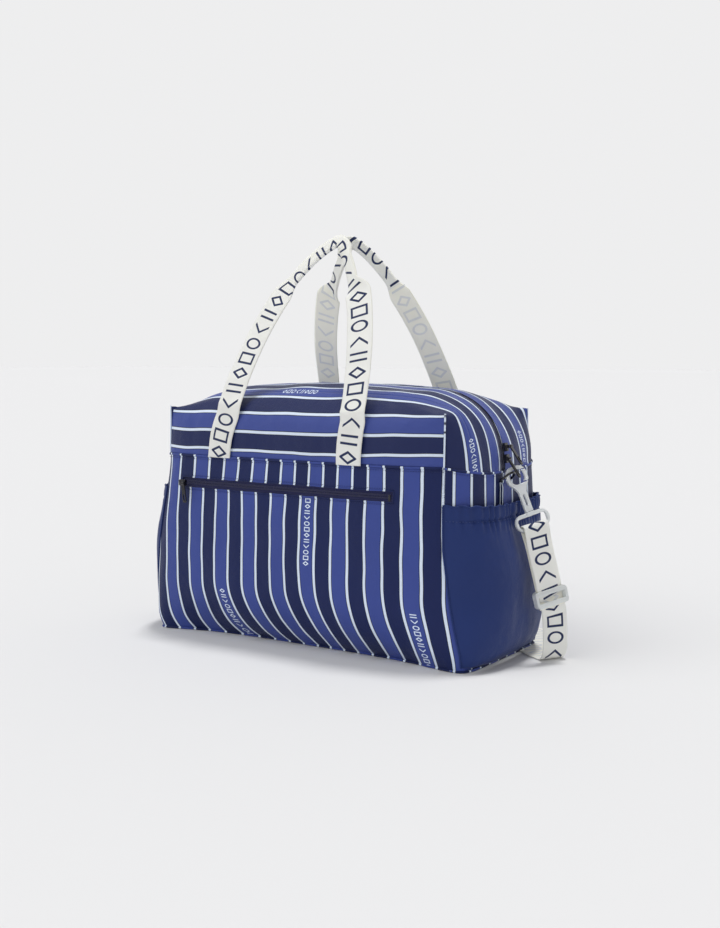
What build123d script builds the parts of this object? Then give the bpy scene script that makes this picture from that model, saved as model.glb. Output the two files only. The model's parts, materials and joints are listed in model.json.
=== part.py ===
"""Weekender bag: a soft zip-top travel bag with two webbing handles, a front zip pocket, an elastic-topped pocket
on each end, and a shoulder strap clipped to a D-ring on each end.

Millimetres. The origin is the centre of the flat base, +X is along the bag to its right end, -Y is the front, +Z up.
Fabric is drawn as thin solid walls, so that every panel has its real place, outline and size.
"""
from build123d import *
from math import cos, radians, sin
import os

# Body: a soft box, undercut below, with long round shoulders where the zip runs down each end.
LENGTH = 484
DEPTH = 242
TOP_Z = 343
SEAM_Z = 250
SHOULDER_R = 90
TOP_EDGE_R = 18
PLAN_CORNER_R = 40
END_UNDERCUT_R = 40
FACE_UNDERCUT_R = 50
FABRIC = 2.5
LINING_INSET = 9
LINING = 1
HALF_X = LENGTH / 2
HALF_Y = DEPTH / 2
BASE_HALF_X = HALF_X - END_UNDERCUT_R
BASE_HALF_Y = HALF_Y - PLAN_CORNER_R

# Mouth: a zip along the top and down both ends, in a gap between the two top panels.
ZIP_HALF = 15
TAPE = 1.2
COIL_HALF = 3
COIL_PROUD = 0.6
MEETING_GAP = 0.4
FLAP_HALF_X = 150
FLAP_HINGE_Y = 72
FLAP_GAP = 0.6
SHOULDER_X = HALF_X - SHOULDER_R
SHOULDER_Z = TOP_Z - SHOULDER_R

# Front pocket: a zip across the front panel and a flat bag behind it.
POCKET_ZIP_X = (-195, 148)
POCKET_ZIP_Z = 213
POCKET_SLOT_HALF = 7
POCKET_TAPE_HALF = 15
POCKET_BAG_BOTTOM = 62
POCKET_BAG_DEEP = 5.4

# End pockets: plain fabric that bellies out from the end panel, with elastic in its hem.
END_POCKET_HEM_Z = 205
END_POCKET_HALF_Y = 106
END_POCKET_BELLY_X = 277
END_POCKET_HEM_X = 255
END_POCKET_FABRIC = 2
ELASTIC_WIDE = 8
ELASTIC_THICK = 0.8

# Handles: two loops of webbing, folded to half width along the top where the hand goes.
HANDLE_WIDE = 38
HANDLE_THICK = 2
HANDLE_CENTRE_X = -23
HANDLE_HALF_SPREAD = 107
HANDLE_BEND_Z = 338
HANDLE_APEX_Z = 545
HANDLE_FACE_GAP = 0.6
HANDLE_APEX_Y = 4
GRIP_WIDE = 19
GRIP_THICK = 3.6

# Zip sliders and their pulls.
SLIDER_LONG = 11
SLIDER_WIDE = 9
SLIDER_THICK = 4
SLIDER_LIFT = 1
LUG_HIGH = 4.4
PIN_R = 1
PULL_LONG = 28
PULL_WIDE = 6
PULL_THICK = 1.8
PULL_EYE_R = 2.4
PIN_CLEARANCE = 0.3
LOWER_SLIDER_ANGLE = 3
UPPER_SLIDER_ANGLE = 12
MAIN_PULL_TILT = 36
POCKET_PULL_TILT = -8
PULL_SIDE = 4.6

# D-ring and its tab, on the end panel above the pocket.
TAB_WIDE = 19
TAB_THICK = 1.8
TAB_SLEEVE = 0.7
D_ROD_R = 1.5
D_HALF_WIDE = 13
D_HIGH = 16
D_CORNER_R = 3
D_BAR = (HALF_X + 2.6, -4, 230)
D_TILT = 45

# Swivel snap hook: a loop whose far side is a sprung gate, on a shank that turns in the eye of an oval ring.
HOOK_CENTRE = Vector(258, 2, 235)
SHANK_AXIS = Vector(0.36, 0.06, -0.93).normalized()
HOOK_ACROSS = Vector(0.56, 0.83, 0)
RING_ACROSS = Vector(0.50, 0.83, 0.24)
LOOP_OUTER = (31, 28)
LOOP_OUTER_R = 12
LOOP_HOLE = (22, 19)
LOOP_HOLE_R = 8.5
LOOP_THICK = 4.6
SHANK_WIDE = 11
SHANK_END = -46
GATE_THICK = 3.6
GATE_GAPS = (1.4, 0.9)
GATE_REACH = (-7.5, 7)
RING_THICK = 4.5
RING_CENTRE = -58
RING_OUTER = (50, 22)
RING_HOLE = (42.6, 12)
RING_HOLE_R = 3.5

# Shoulder strap: 38 mm webbing, looped over the ring, through the slide adjuster, then down to the ground.
STRAP_WIDE = 38
STRAP_THICK = 1.6
STRAP_FALL = Vector(0.209, 0.098, -0.973).normalized()
STRAP_LOOP_LONG = 106
STRAP_FLOOR_BEND_R = 14
STRAP_KNEE_Z = 30
STRAP_FOOT = (302, 28)
STRAP_BELOW_BAG = 44
STRAP_BEHIND = (228, 166)
ADJUSTER_WIDE = 47
ADJUSTER_TALL = 22
ADJUSTER_THICK = 9.6
FAR = 600

parts = {}


def across(direction, axis):
    """The unit vector nearest to direction that is square to axis."""
    return (direction - axis * direction.dot(axis)).normalized()


def slab(x, y, z):
    """A box between the given (low, high) pairs."""
    size = [pair[1] - pair[0] for pair in (x, y, z)]
    middle = [(pair[1] + pair[0]) / 2 for pair in (x, y, z)]
    return Pos(*middle) * Box(*size)


def mirrored_x(solid):
    return mirror(solid, about=Plane.YZ)


def mirrored_y(solid):
    return mirror(solid, about=Plane.XZ)


# ---------------------------------------------------------------- body panels
def upright_outline(half_wide, low, high, low_radius, high_radius):
    face = Pos(0, (low + high) / 2) * Rectangle(2 * half_wide, high - low)
    face = fillet(face.vertices().group_by(Axis.Y)[0], low_radius)
    return fillet(face.vertices().group_by(Axis.Y)[-1], high_radius)


def body_block(inset):
    """The whole body as one block, moved in by inset on every side."""
    low, high = inset, TOP_Z - inset
    front = upright_outline(HALF_X - inset, low, high, END_UNDERCUT_R - inset, SHOULDER_R - inset)
    side = upright_outline(HALF_Y - inset, low, high, FACE_UNDERCUT_R - inset, TOP_EDGE_R - inset)
    plan = RectangleRounded(LENGTH - 2 * inset, DEPTH - 2 * inset, PLAN_CORNER_R - inset)
    seen_from_front = extrude(Plane.XZ * front, amount=FAR, both=True)
    seen_from_side = extrude(Plane.YZ * side, amount=FAR, both=True)
    return seen_from_front & seen_from_side & extrude(plan, amount=FAR)


def body_panels():
    walls = body_block(0) - body_block(FABRIC)
    lower = (-1, SEAM_Z)
    front_wall = walls & slab((-FAR, FAR), (-FAR, -BASE_HALF_Y), lower)
    slot = slab(POCKET_ZIP_X, (-HALF_Y - 1, -HALF_Y + FABRIC + 1),
                (POCKET_ZIP_Z - POCKET_SLOT_HALF, POCKET_ZIP_Z + POCKET_SLOT_HALF))
    middle = (-BASE_HALF_Y, BASE_HALF_Y)
    parts["front_panel"] = front_wall - slot
    parts["rear_panel"] = mirrored_y(front_wall)
    parts["base_panel"] = walls & slab((-BASE_HALF_X, BASE_HALF_X), middle, (-1, END_UNDERCUT_R))
    parts["right_end_panel"] = walls & slab((BASE_HALF_X, FAR), middle, lower)
    parts["left_end_panel"] = mirrored_x(parts["right_end_panel"])
    top_wall = walls & slab((-FAR, FAR), (-FAR, -ZIP_HALF), (SEAM_Z, FAR))
    flap = top_wall & slab((-FLAP_HALF_X, FLAP_HALF_X), (-FLAP_HINGE_Y, 0), (TOP_Z - TOP_EDGE_R, FAR))
    flap_hole = slab((-FLAP_HALF_X - FLAP_GAP, FLAP_HALF_X + FLAP_GAP), (-FLAP_HINGE_Y - FLAP_GAP, 0),
                     (TOP_Z - TOP_EDGE_R, FAR))
    parts["top_front_panel"] = top_wall - flap_hole
    parts["top_rear_panel"] = mirrored_y(parts["top_front_panel"])
    parts["top_front_flap"] = flap
    parts["top_rear_flap"] = mirrored_y(flap)


def inner_pieces():
    lining = body_block(LINING_INSET) - body_block(LINING_INSET + LINING)
    parts["lining"] = lining & slab((-FAR, FAR), (-FAR, FAR), (0, TOP_Z - TOP_EDGE_R))
    parts["base_board"] = slab((-BASE_HALF_X, BASE_HALF_X), (-BASE_HALF_Y + 12, BASE_HALF_Y - 12),
                               (FABRIC, FABRIC + 3))


# ---------------------------------------------------------------- main zip
def zip_half():
    """The front tape with its half of the coil, along the top and down both ends to the seam."""
    def arch(outer, thick):
        face = upright_outline(HALF_X + outer, 0, TOP_Z + outer, 1, SHOULDER_R + outer)
        inner = outer - thick
        hole = upright_outline(HALF_X + inner, -1, TOP_Z + inner, 1, SHOULDER_R + inner)
        return Plane.XZ * (face - hole)

    tape = extrude(arch(0, TAPE), amount=FAR, both=True)
    tape = tape & slab((-FAR, FAR), (-ZIP_HALF, -MEETING_GAP), (SEAM_Z, FAR))
    coil = extrude(arch(COIL_PROUD, TAPE + COIL_PROUD), amount=FAR, both=True)
    return tape + (coil & slab((-FAR, FAR), (-COIL_HALF, -MEETING_GAP), (SEAM_Z, FAR)))


def main_zip():
    half = zip_half()
    middle = slab((-FLAP_HALF_X, FLAP_HALF_X), (-FAR, 0), (0, FAR))
    wider = slab((-FLAP_HALF_X - FLAP_GAP, FLAP_HALF_X + FLAP_GAP), (-FAR, 0), (0, FAR))
    parts["main_zip_front_middle"] = half & middle
    parts["main_zip_front_ends"] = half - wider
    parts["main_zip_rear_middle"] = mirrored_y(parts["main_zip_front_middle"])
    parts["main_zip_rear_ends"] = mirrored_y(parts["main_zip_front_ends"])


# ---------------------------------------------------------------- sliders and pulls
def slider(place, travel, side):
    """A slider on the surface at place, whose z is outward. travel is 'x' or 'y' of that plane; the pin that the
    pull hangs on lies along x, to the given side of the lug."""
    long_x, long_y = (SLIDER_LONG, SLIDER_WIDE) if travel == "x" else (SLIDER_WIDE, SLIDER_LONG)
    top = SLIDER_LIFT + SLIDER_THICK
    body = Pos(0, 0, SLIDER_LIFT + SLIDER_THICK / 2) * Box(long_x, long_y, SLIDER_THICK)
    body = fillet(body.edges().filter_by(Axis.Z), 2)
    lug = Pos(0, 0, top + LUG_HIGH / 2) * Box(2, 4.4, LUG_HIGH)
    pin_long = PULL_SIDE + PULL_WIDE / 2 + 0.4
    pin = Pos(side * pin_long / 2, 0, top + LUG_HIGH - 1.4) * Rot(0, 90, 0) * Cylinder(PIN_R, pin_long)
    return place * (body + lug + pin)


def pull(place, angle, side):
    """The pull on that slider's pin, turned by angle about the pin from the plane's -y towards its z."""
    pin = Pos(side * PULL_SIDE, 0, SLIDER_LIFT + SLIDER_THICK + LUG_HIGH - 1.4)
    eye = Rot(0, 90, 0) * Cylinder(PULL_EYE_R, PULL_WIDE)
    blade = Pos(0, -PULL_LONG / 2, 0) * Box(PULL_WIDE, PULL_LONG, PULL_THICK)
    blade = fillet(blade.edges().filter_by(Axis.Z).group_by(Axis.Y)[0], PULL_WIDE / 2 - 0.4)
    window = Pos(0, -PULL_LONG * 0.72, 0) * Box(PULL_WIDE - 3, PULL_LONG * 0.3, PULL_THICK + 1)
    hole = Rot(0, 90, 0) * Cylinder(PIN_R + PIN_CLEARANCE, PULL_WIDE + 1)
    return place * pin * Rot(-angle, 0, 0) * (eye + blade - window - hole)


def main_slider_place(angle):
    outward = Vector(cos(radians(angle)), 0, sin(radians(angle)))
    origin = Vector(SHOULDER_X, 0, SHOULDER_Z) + outward * SHOULDER_R
    return Plane(origin=origin, x_dir=(0, 1, 0), z_dir=outward)


def main_sliders():
    for name, angle, side in (("lower", LOWER_SLIDER_ANGLE, -1), ("upper", UPPER_SLIDER_ANGLE, 1)):
        place = main_slider_place(angle)
        parts[f"main_slider_{name}"] = slider(place, "y", side)
        parts[f"main_pull_{name}"] = pull(place, MAIN_PULL_TILT - angle, side)


# ---------------------------------------------------------------- front pocket
def front_pocket():
    behind = -HALF_Y + FABRIC
    tape_z = (POCKET_ZIP_Z + MEETING_GAP / 2, POCKET_ZIP_Z + POCKET_TAPE_HALF)
    coil_z = (POCKET_ZIP_Z + MEETING_GAP / 2, POCKET_ZIP_Z + COIL_HALF)
    tape = slab((POCKET_ZIP_X[0] - 5, POCKET_ZIP_X[1] + 5), (behind, behind + TAPE), tape_z)
    coil = slab(POCKET_ZIP_X, (-HALF_Y + 0.4, behind), coil_z)
    upper = tape + coil
    parts["pocket_zip_upper_tape"] = upper
    parts["pocket_zip_lower_tape"] = mirror(upper, about=Plane.XY.offset(POCKET_ZIP_Z))
    end_stop = slab((POCKET_ZIP_X[1] - 3, POCKET_ZIP_X[1]), (-HALF_Y - 0.8, -HALF_Y + 0.4),
                    (POCKET_ZIP_Z - 4, POCKET_ZIP_Z + 4))
    parts["pocket_zip_stop"] = end_stop
    wide = (POCKET_ZIP_X[0] - 6, POCKET_ZIP_X[1] + 8)
    bag_top = POCKET_ZIP_Z - POCKET_TAPE_HALF
    outer = slab(wide, (behind, behind + POCKET_BAG_DEEP + 1), (POCKET_BAG_BOTTOM, bag_top))
    inside = slab((wide[0] + 1, wide[1] - 1), (behind - 1, behind + POCKET_BAG_DEEP),
                  (POCKET_BAG_BOTTOM + 1, bag_top + 1))
    parts["front_pocket_bag"] = outer - inside
    place = Plane(origin=(POCKET_ZIP_X[0] + SLIDER_LONG / 2 + 1, -HALF_Y - 0.2, POCKET_ZIP_Z),
                  x_dir=(1, 0, 0), z_dir=(0, -1, 0))
    parts["pocket_slider"] = slider(place, "x", 1)
    parts["pocket_pull"] = pull(place, POCKET_PULL_TILT, 1)


# ---------------------------------------------------------------- end pockets
def pocket_block(inset):
    """The right end pocket as one block that reaches into the body and above its hem, moved in by inset on its
    free sides."""
    top = END_POCKET_HEM_Z + 20
    belly = END_POCKET_BELLY_X - inset
    half = END_POCKET_HALF_Y - inset
    root_x = BASE_HALF_X
    corner_x = HALF_X - 10
    plan = make_face(Line((root_x, -half), (corner_x, -half))
                     + ThreePointArc((corner_x, -half), (belly, 0), (corner_x, half))
                     + Line((corner_x, half), (root_x, half)) + Line((root_x, half), (root_x, -half)))
    undercut = upright_outline(HALF_Y - 8, 0, 2 * TOP_Z, FACE_UNDERCUT_R, TOP_EDGE_R)
    low_start = (BASE_HALF_X + 22, 6 + inset)
    low_end = (belly, 92)
    hem = (END_POCKET_HEM_X - inset, END_POCKET_HEM_Z)
    side = make_face(ThreePointArc(low_start, (belly - 9, 32 + inset), low_end) + Line(low_end, hem)
                     + Line(hem, (hem[0], top)) + Line((hem[0], top), (low_start[0], top))
                     + Line((low_start[0], top), low_start))
    block = extrude(plan, amount=FAR) & extrude(Plane.XZ * side, amount=FAR, both=True)
    return block & extrude(Plane.YZ * undercut, amount=FAR, both=True)


def end_pockets():
    inside = pocket_block(END_POCKET_FABRIC)
    body = body_block(0)
    below_hem = slab((0, FAR), (-FAR, FAR), (0, END_POCKET_HEM_Z))
    pocket = (pocket_block(0) & below_hem) - inside - body
    parts["right_end_pocket"] = pocket.solids().sort_by(SortBy.VOLUME)[-1]
    hem_z = (END_POCKET_HEM_Z - ELASTIC_WIDE - 4, END_POCKET_HEM_Z - 4)
    band = (inside - pocket_block(END_POCKET_FABRIC + ELASTIC_THICK)) - body
    band = band & slab((0, FAR), (-FAR, FAR), hem_z)
    parts["right_pocket_elastic"] = band.solids().sort_by(SortBy.VOLUME)[-1]
    for name in ("end_pocket", "pocket_elastic"):
        parts[f"left_{name}"] = mirrored_x(parts[f"right_{name}"])


# ---------------------------------------------------------------- handles
def ribbon(points, wide):
    """A flat outline of even width that follows the points."""
    path = Polyline(*points)
    return trace(path, line_width=wide)


def handles():
    y_low = HALF_Y + HANDLE_FACE_GAP + HANDLE_THICK / 2
    rise = HANDLE_APEX_Z - HANDLE_BEND_Z
    lean = Vector(0, y_low - HANDLE_APEX_Y, rise)
    long = lean.length
    sheet = Plane(origin=(HANDLE_CENTRE_X, -y_low, HANDLE_BEND_Z), x_dir=(1, 0, 0),
                  z_dir=Vector(1, 0, 0).cross(lean.normalized()))
    s = HANDLE_HALF_SPREAD
    right_leg = [(s, -2), (0.9 * s, 0.27 * long), (0.68 * s, 0.6 * long)]
    right_grip = [(0.7 * s, 0.57 * long), (0.42 * s, 0.83 * long), (0.1 * s, long - GRIP_WIDE / 2)]
    solid = None
    for side in (1, -1):
        leg = ribbon([(side * x, y) for x, y in right_leg], HANDLE_WIDE)
        grip = ribbon([(side * x, y) for x, y in right_grip], GRIP_WIDE)
        leg_x = HANDLE_CENTRE_X + side * s
        lower = slab((leg_x - HANDLE_WIDE / 2, leg_x + HANDLE_WIDE / 2),
                     (-y_low - HANDLE_THICK / 2, -y_low + HANDLE_THICK / 2), (SEAM_Z + 0.5, HANDLE_BEND_Z + 0.6))
        for piece in (lower, extrude(sheet * leg, amount=HANDLE_THICK / 2, both=True),
                      extrude(sheet * grip, amount=GRIP_THICK / 2, both=True)):
            solid = piece if solid is None else solid + piece
    crown = Pos(0, long - GRIP_WIDE / 2) * Rectangle(0.24 * s, GRIP_WIDE * 0.96)
    solid = solid + extrude(sheet * crown, amount=GRIP_THICK / 2, both=True)
    parts["front_handle"] = solid
    parts["rear_handle"] = mirrored_y(solid)


# ---------------------------------------------------------------- strap hardware
def d_ring_and_tab():
    bar = Vector(*D_BAR)
    sleeve = Pos(*D_BAR) * Rot(90, 0, 0) * Cylinder(D_ROD_R + 0.2 + TAB_SLEEVE, TAB_WIDE)
    bore = Pos(*D_BAR) * Rot(90, 0, 0) * Cylinder(D_ROD_R + 0.2, TAB_WIDE + 2)
    tab_y = (bar.Y - TAB_WIDE / 2, bar.Y + TAB_WIDE / 2)
    tab = slab((HALF_X, HALF_X + TAB_THICK), tab_y, (END_POCKET_HEM_Z, bar.Z))
    parts["right_strap_tab"] = tab + sleeve - bore
    up = Vector(sin(radians(D_TILT)), 0, cos(radians(D_TILT)))
    sheet = Plane(origin=bar, x_dir=(0, 1, 0), z_dir=Vector(0, 1, 0).cross(up))
    bow = ThreePointArc((-D_HALF_WIDE, 0), (0, D_HIGH), (D_HALF_WIDE, 0))
    outline = make_face(bow + Line((D_HALF_WIDE, 0), (-D_HALF_WIDE, 0)))
    outline = fillet(outline.vertices(), D_CORNER_R)
    path = (sheet * outline).wire()
    parts["right_d_ring"] = sweep(Plane(origin=path @ 0, z_dir=path % 0) * Circle(D_ROD_R), path=path)


def hook_frame(across_vector):
    side = across(across_vector, SHANK_AXIS)
    return Plane(origin=HOOK_CENTRE, x_dir=side, z_dir=SHANK_AXIS.cross(side))


def snap_hook():
    place = hook_frame(HOOK_ACROSS)
    hole = RectangleRounded(*LOOP_HOLE, LOOP_HOLE_R)
    loop = RectangleRounded(*LOOP_OUTER, LOOP_OUTER_R) - hole
    gate_x = (LOOP_OUTER[0] + LOOP_HOLE[0]) / 4
    gate_y = (GATE_REACH[0] + GATE_REACH[1]) / 2
    gate_long = GATE_REACH[1] - GATE_REACH[0]
    gate = loop & Pos(gate_x, gate_y) * Rectangle(LOOP_OUTER[0] / 2, gate_long)
    gap_y = gate_y + (GATE_GAPS[1] - GATE_GAPS[0]) / 2
    gap = Pos(gate_x, gap_y) * Rectangle(LOOP_OUTER[0] / 2, gate_long + sum(GATE_GAPS))
    half = SHANK_WIDE / 2
    neck = make_face(Polyline((-10.5, -9.5), (10.5, -9.5), (half, -21), (-half, -21), close=True)) - hole
    shank = Pos(0, (SHANK_END - 20) / 2) * Rectangle(SHANK_WIDE, -20 - SHANK_END)
    slot = Pos(0, -31) * SlotOverall(15, 3, rotation=90)
    claw = loop - gap + neck + shank - slot
    parts["right_hook"] = place * extrude(claw, amount=LOOP_THICK / 2, both=True)
    parts["right_hook_gate"] = place * extrude(gate, amount=GATE_THICK / 2, both=True)


def swivel_ring():
    place = hook_frame(RING_ACROSS)
    oval = RectangleRounded(*RING_OUTER, RING_OUTER[1] / 2 - 0.1) - RectangleRounded(*RING_HOLE, RING_HOLE_R)
    ring = Pos(0, RING_CENTRE) * extrude(oval, amount=RING_THICK / 2, both=True)
    eye_low = RING_CENTRE + RING_HOLE[1] / 2
    eye_high = SHANK_END - 0.4
    eye = Pos(0, (eye_low + eye_high) / 2, 0) * Box(SHANK_WIDE + 1, eye_high - eye_low, 7)
    parts["right_swivel_ring"] = place * (ring + eye)
    return place


def strap_frame(place):
    """The plane at the ring's lower bar: x across the strap, y up along it, z outward."""
    bar_at = RING_CENTRE - (RING_OUTER[1] + RING_HOLE[1]) / 4
    bar = HOOK_CENTRE - SHANK_AXIS * bar_at
    side = across(place.x_dir, STRAP_FALL)
    return Plane(origin=bar, x_dir=side, z_dir=STRAP_FALL.cross(side))


def strap_loop(place):
    """The doubled webbing from the ring down to the adjuster, as one flat loop."""
    turn = RING_THICK / 2 + 1.9
    neck = -STRAP_LOOP_LONG / 6

    def outline(grow):
        flat = 1.1 + grow
        head = make_hull((Circle(turn + grow) + Pos(0, neck) * Rectangle(2 * flat, 0.2)).edges())
        return head + Pos(0, (neck - STRAP_LOOP_LONG) / 2) * Rectangle(2 * flat, STRAP_LOOP_LONG + neck)

    edge_on = Plane(origin=place.origin, x_dir=place.z_dir, z_dir=-place.x_dir)
    loop = outline(STRAP_THICK) - outline(0)
    return extrude(edge_on * loop, amount=STRAP_WIDE / 2, both=True)


def strap_half(place):
    """The right half of the strap, from the ring to the middle of the run behind the bag."""
    side = Vector(place.x_dir.X, place.x_dir.Y, 0).normalized()
    outward = side.cross(Vector(0, 0, 1))
    start = place.origin + STRAP_FALL * (STRAP_LOOP_LONG - 3)
    foot = Vector(*STRAP_FOOT, STRAP_THICK / 2)
    under = foot - outward * STRAP_BELOW_BAG
    knee = foot + Vector(0, 0, STRAP_KNEE_Z)
    fall = knee - start
    fall_plane = Plane(origin=(start + knee) / 2, x_dir=across(side, fall.normalized()), z_dir=fall)
    falling = fall_plane * Box(STRAP_WIDE, STRAP_THICK, fall.length + STRAP_THICK)
    landing = FilletPolyline(knee, foot, under, radius=STRAP_FLOOR_BEND_R)
    section = Plane(origin=knee, x_dir=side, z_dir=landing % 0) * Rectangle(STRAP_WIDE, STRAP_THICK)
    landed = sweep(section, path=landing)
    corner = Vector(*STRAP_BEHIND, 0)
    beside = Vector(corner.X - under.X, corner.Y - under.Y, 0)
    ahead = beside.normalized()
    middle = Vector((corner.X + under.X) / 2, (corner.Y + under.Y) / 2, STRAP_THICK * 1.5)
    beside_plane = Plane(origin=middle, x_dir=ahead, z_dir=(0, 0, 1))
    turning = beside_plane * Box(beside.length + STRAP_WIDE * 0.55, STRAP_WIDE, STRAP_THICK)
    behind = slab((0, corner.X + STRAP_WIDE * 0.3), (corner.Y - STRAP_WIDE / 2, corner.Y + STRAP_WIDE / 2),
                  (0, STRAP_THICK))
    return falling + landed + turning + behind


def adjuster(place):
    at = place * Pos(0, -STRAP_LOOP_LONG + ADJUSTER_TALL / 2 + 4, 0)
    frame = Box(ADJUSTER_WIDE, ADJUSTER_TALL, ADJUSTER_THICK)
    frame = fillet(frame.edges().filter_by(Axis.Z), 5)
    tunnel = Box(STRAP_WIDE + 1.6, ADJUSTER_TALL + 2, 2 * (1.1 + STRAP_THICK) + 0.8)
    window = Box(STRAP_WIDE + 1.6, ADJUSTER_TALL - 13, ADJUSTER_THICK + 2)
    return at * (frame - tunnel - window)


def strap_and_hardware():
    d_ring_and_tab()
    snap_hook()
    place = strap_frame(swivel_ring())
    right = strap_half(place) + strap_loop(place)
    parts["shoulder_strap"] = right + mirrored_x(right)
    parts["strap_adjuster"] = adjuster(place)
    for name in ("strap_tab", "d_ring", "hook", "hook_gate", "swivel_ring"):
        parts[f"left_{name}"] = mirrored_x(parts[f"right_{name}"])


body_panels()
inner_pieces()
main_zip()
main_sliders()
front_pocket()
end_pockets()
handles()
strap_and_hardware()

os.makedirs("parts", exist_ok=True)
for name, solid in parts.items():
    export_step(solid, f"parts/{name}.step")
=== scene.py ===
"""Weekender bag: the looks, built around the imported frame. Metres; the shape helpers work in millimetres and
the mesh makers turn them into metres. +X is the right end, -Y the front with the zip pocket, +Z up."""
import json
import math

import bmesh
import bpy
import numpy as np
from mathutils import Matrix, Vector, noise


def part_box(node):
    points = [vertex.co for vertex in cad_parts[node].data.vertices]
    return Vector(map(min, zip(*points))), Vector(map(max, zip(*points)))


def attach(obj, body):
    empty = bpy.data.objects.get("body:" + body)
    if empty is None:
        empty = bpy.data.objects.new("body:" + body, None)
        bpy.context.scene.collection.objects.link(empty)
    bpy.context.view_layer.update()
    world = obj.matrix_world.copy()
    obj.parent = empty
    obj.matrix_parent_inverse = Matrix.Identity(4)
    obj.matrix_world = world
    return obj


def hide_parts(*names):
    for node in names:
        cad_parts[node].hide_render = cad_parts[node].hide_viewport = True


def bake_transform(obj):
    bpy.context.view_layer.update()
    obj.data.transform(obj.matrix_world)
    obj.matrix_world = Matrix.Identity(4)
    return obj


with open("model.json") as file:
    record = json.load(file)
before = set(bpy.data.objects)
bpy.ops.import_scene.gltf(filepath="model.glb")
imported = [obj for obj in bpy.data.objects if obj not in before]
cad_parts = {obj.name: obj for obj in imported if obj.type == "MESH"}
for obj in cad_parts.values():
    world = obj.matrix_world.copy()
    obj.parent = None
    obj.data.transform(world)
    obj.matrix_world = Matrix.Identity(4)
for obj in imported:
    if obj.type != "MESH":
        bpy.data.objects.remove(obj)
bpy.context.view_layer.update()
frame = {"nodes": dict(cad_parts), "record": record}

MM = 0.001
PITCH = 24.2                    # from one white line of the cloth to the next
SEAM_Z = 250
SEAM_DIP = 9                    # how much lower the seam runs in the middle of each end
HALF_X = 242
HALF_Y = 121
# the four upright corner seams and the superellipse powers of the corners, both by x side and y side
CORNER_X = {(1, -1): 208, (1, 1): 225, (-1, -1): 231, (-1, 1): 228}
SQUARENESS = {(1, -1): 3.9, (1, 1): 8.5, (-1, -1): 10, (-1, 1): 10}
LOW_SQUARENESS = {(1, -1): 8.5, (1, 1): 13, (-1, -1): 14, (-1, 1): 13}
LEFT_SWELL = 17                 # how much further the left end stands out low down
CORNER_TOP = 317
CROWN = 350
SHOULDER = (150, 252, 90)       # centre x, centre z and radius of the zip's way down an end
HINGE_Y = 72
ZIP_EDGE = 5                    # the folded edge of the top cloth, from the middle of the zip
POCKET_SLOT = (-196, 147, 206, 220.5)   # left and right ends along the front, then its lower and upper edge
POCKET_HEM = 205
HEM_STITCH = POCKET_HEM - 19    # the row of stitches below the elastic
HEM_SAG = 3.0
POCKET_FOOT = 7
PLAIN_RUN = 3.0                 # metres along the cloth, well past every printed row


# ---------------------------------------------------------------- small helpers
def smoothstep(low, high, value):
    t = np.clip((np.asarray(value, float) - low) / (high - low), 0, 1)
    return t * t * (3 - 2 * t)


def noise_field(points, scale, seed=0.0):
    """Smooth noise from -1 to 1 at an array of points in mm, with features about scale mm wide."""
    shape = points.shape[:-1]
    flat = points.reshape(-1, 3) / np.asarray(scale, float)
    values = [noise.noise((p[0] + seed, p[1] + seed * 1.7, p[2] - seed)) for p in flat]
    return np.array(values).reshape(shape)


def grid_normals(points):
    """Unit normals of a grid of points."""
    du = np.gradient(points, axis=1)
    dv = np.gradient(points, axis=0)
    normals = np.cross(du, dv)
    length = np.linalg.norm(normals, axis=-1, keepdims=True)
    return normals / np.maximum(length, 1e-9)


def unit(vector):
    vector = np.asarray(vector, float)
    return vector / max(np.linalg.norm(vector), 1e-9)


def arc_lengths(points):
    return np.concatenate([[0], np.cumsum(np.linalg.norm(np.diff(points, axis=0), axis=1))])


def smooth_path(points, count):
    """An even run of points along a Catmull-Rom curve through the given ones."""
    points = np.asarray(points, float)
    ends = np.vstack([2 * points[0] - points[1], points, 2 * points[-1] - points[-2]])
    fine = []
    for i in range(len(points) - 1):
        a, b, c, d = ends[i:i + 4]
        for t in np.linspace(0, 1, 24, endpoint=False):
            fine.append(0.5 * (2 * b + (c - a) * t + (2 * a - 5 * b + 4 * c - d) * t ** 2
                               + (3 * b - a - 3 * c + d) * t ** 3))
    fine.append(points[-1])
    fine = np.array(fine)
    run = arc_lengths(fine)
    at = np.linspace(0, run[-1], count)
    return np.stack([np.interp(at, run, fine[:, k]) for k in range(fine.shape[1])], axis=1)


# ---------------------------------------------------------------- mesh makers
def make_mesh(name, vertices, faces, uvs=None, face_slots=None, materials=(), smooth=True):
    """A mesh object from points in mm. uvs gives one (u, v) for each vertex."""
    mesh = bpy.data.meshes.new(name)
    mesh.from_pydata([tuple(v) for v in np.asarray(vertices, float) * MM], [], faces)
    for material in materials:
        mesh.materials.append(material)
    if uvs is not None:
        layer = mesh.uv_layers.new(name="cloth")
        loops = np.zeros(len(mesh.loops), int)
        mesh.loops.foreach_get("vertex_index", loops)
        layer.data.foreach_set("uv", np.asarray(uvs, float)[loops].ravel())
    if face_slots is not None:
        mesh.polygons.foreach_set("material_index", face_slots)
    mesh.polygons.foreach_set("use_smooth", [smooth] * len(mesh.polygons))
    mesh.validate()
    mesh.update()
    obj = bpy.data.objects.new(name, mesh)
    bpy.context.scene.collection.objects.link(obj)
    return obj


def grid_faces(rows, columns, keep=None, closed=False):
    faces = []
    for r in range(rows - 1):
        for c in range(columns if closed else columns - 1):
            if keep is None or keep[r, c]:
                d = (c + 1) % columns
                faces.append((r * columns + c, r * columns + d, (r + 1) * columns + d, (r + 1) * columns + c))
    return faces


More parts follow.
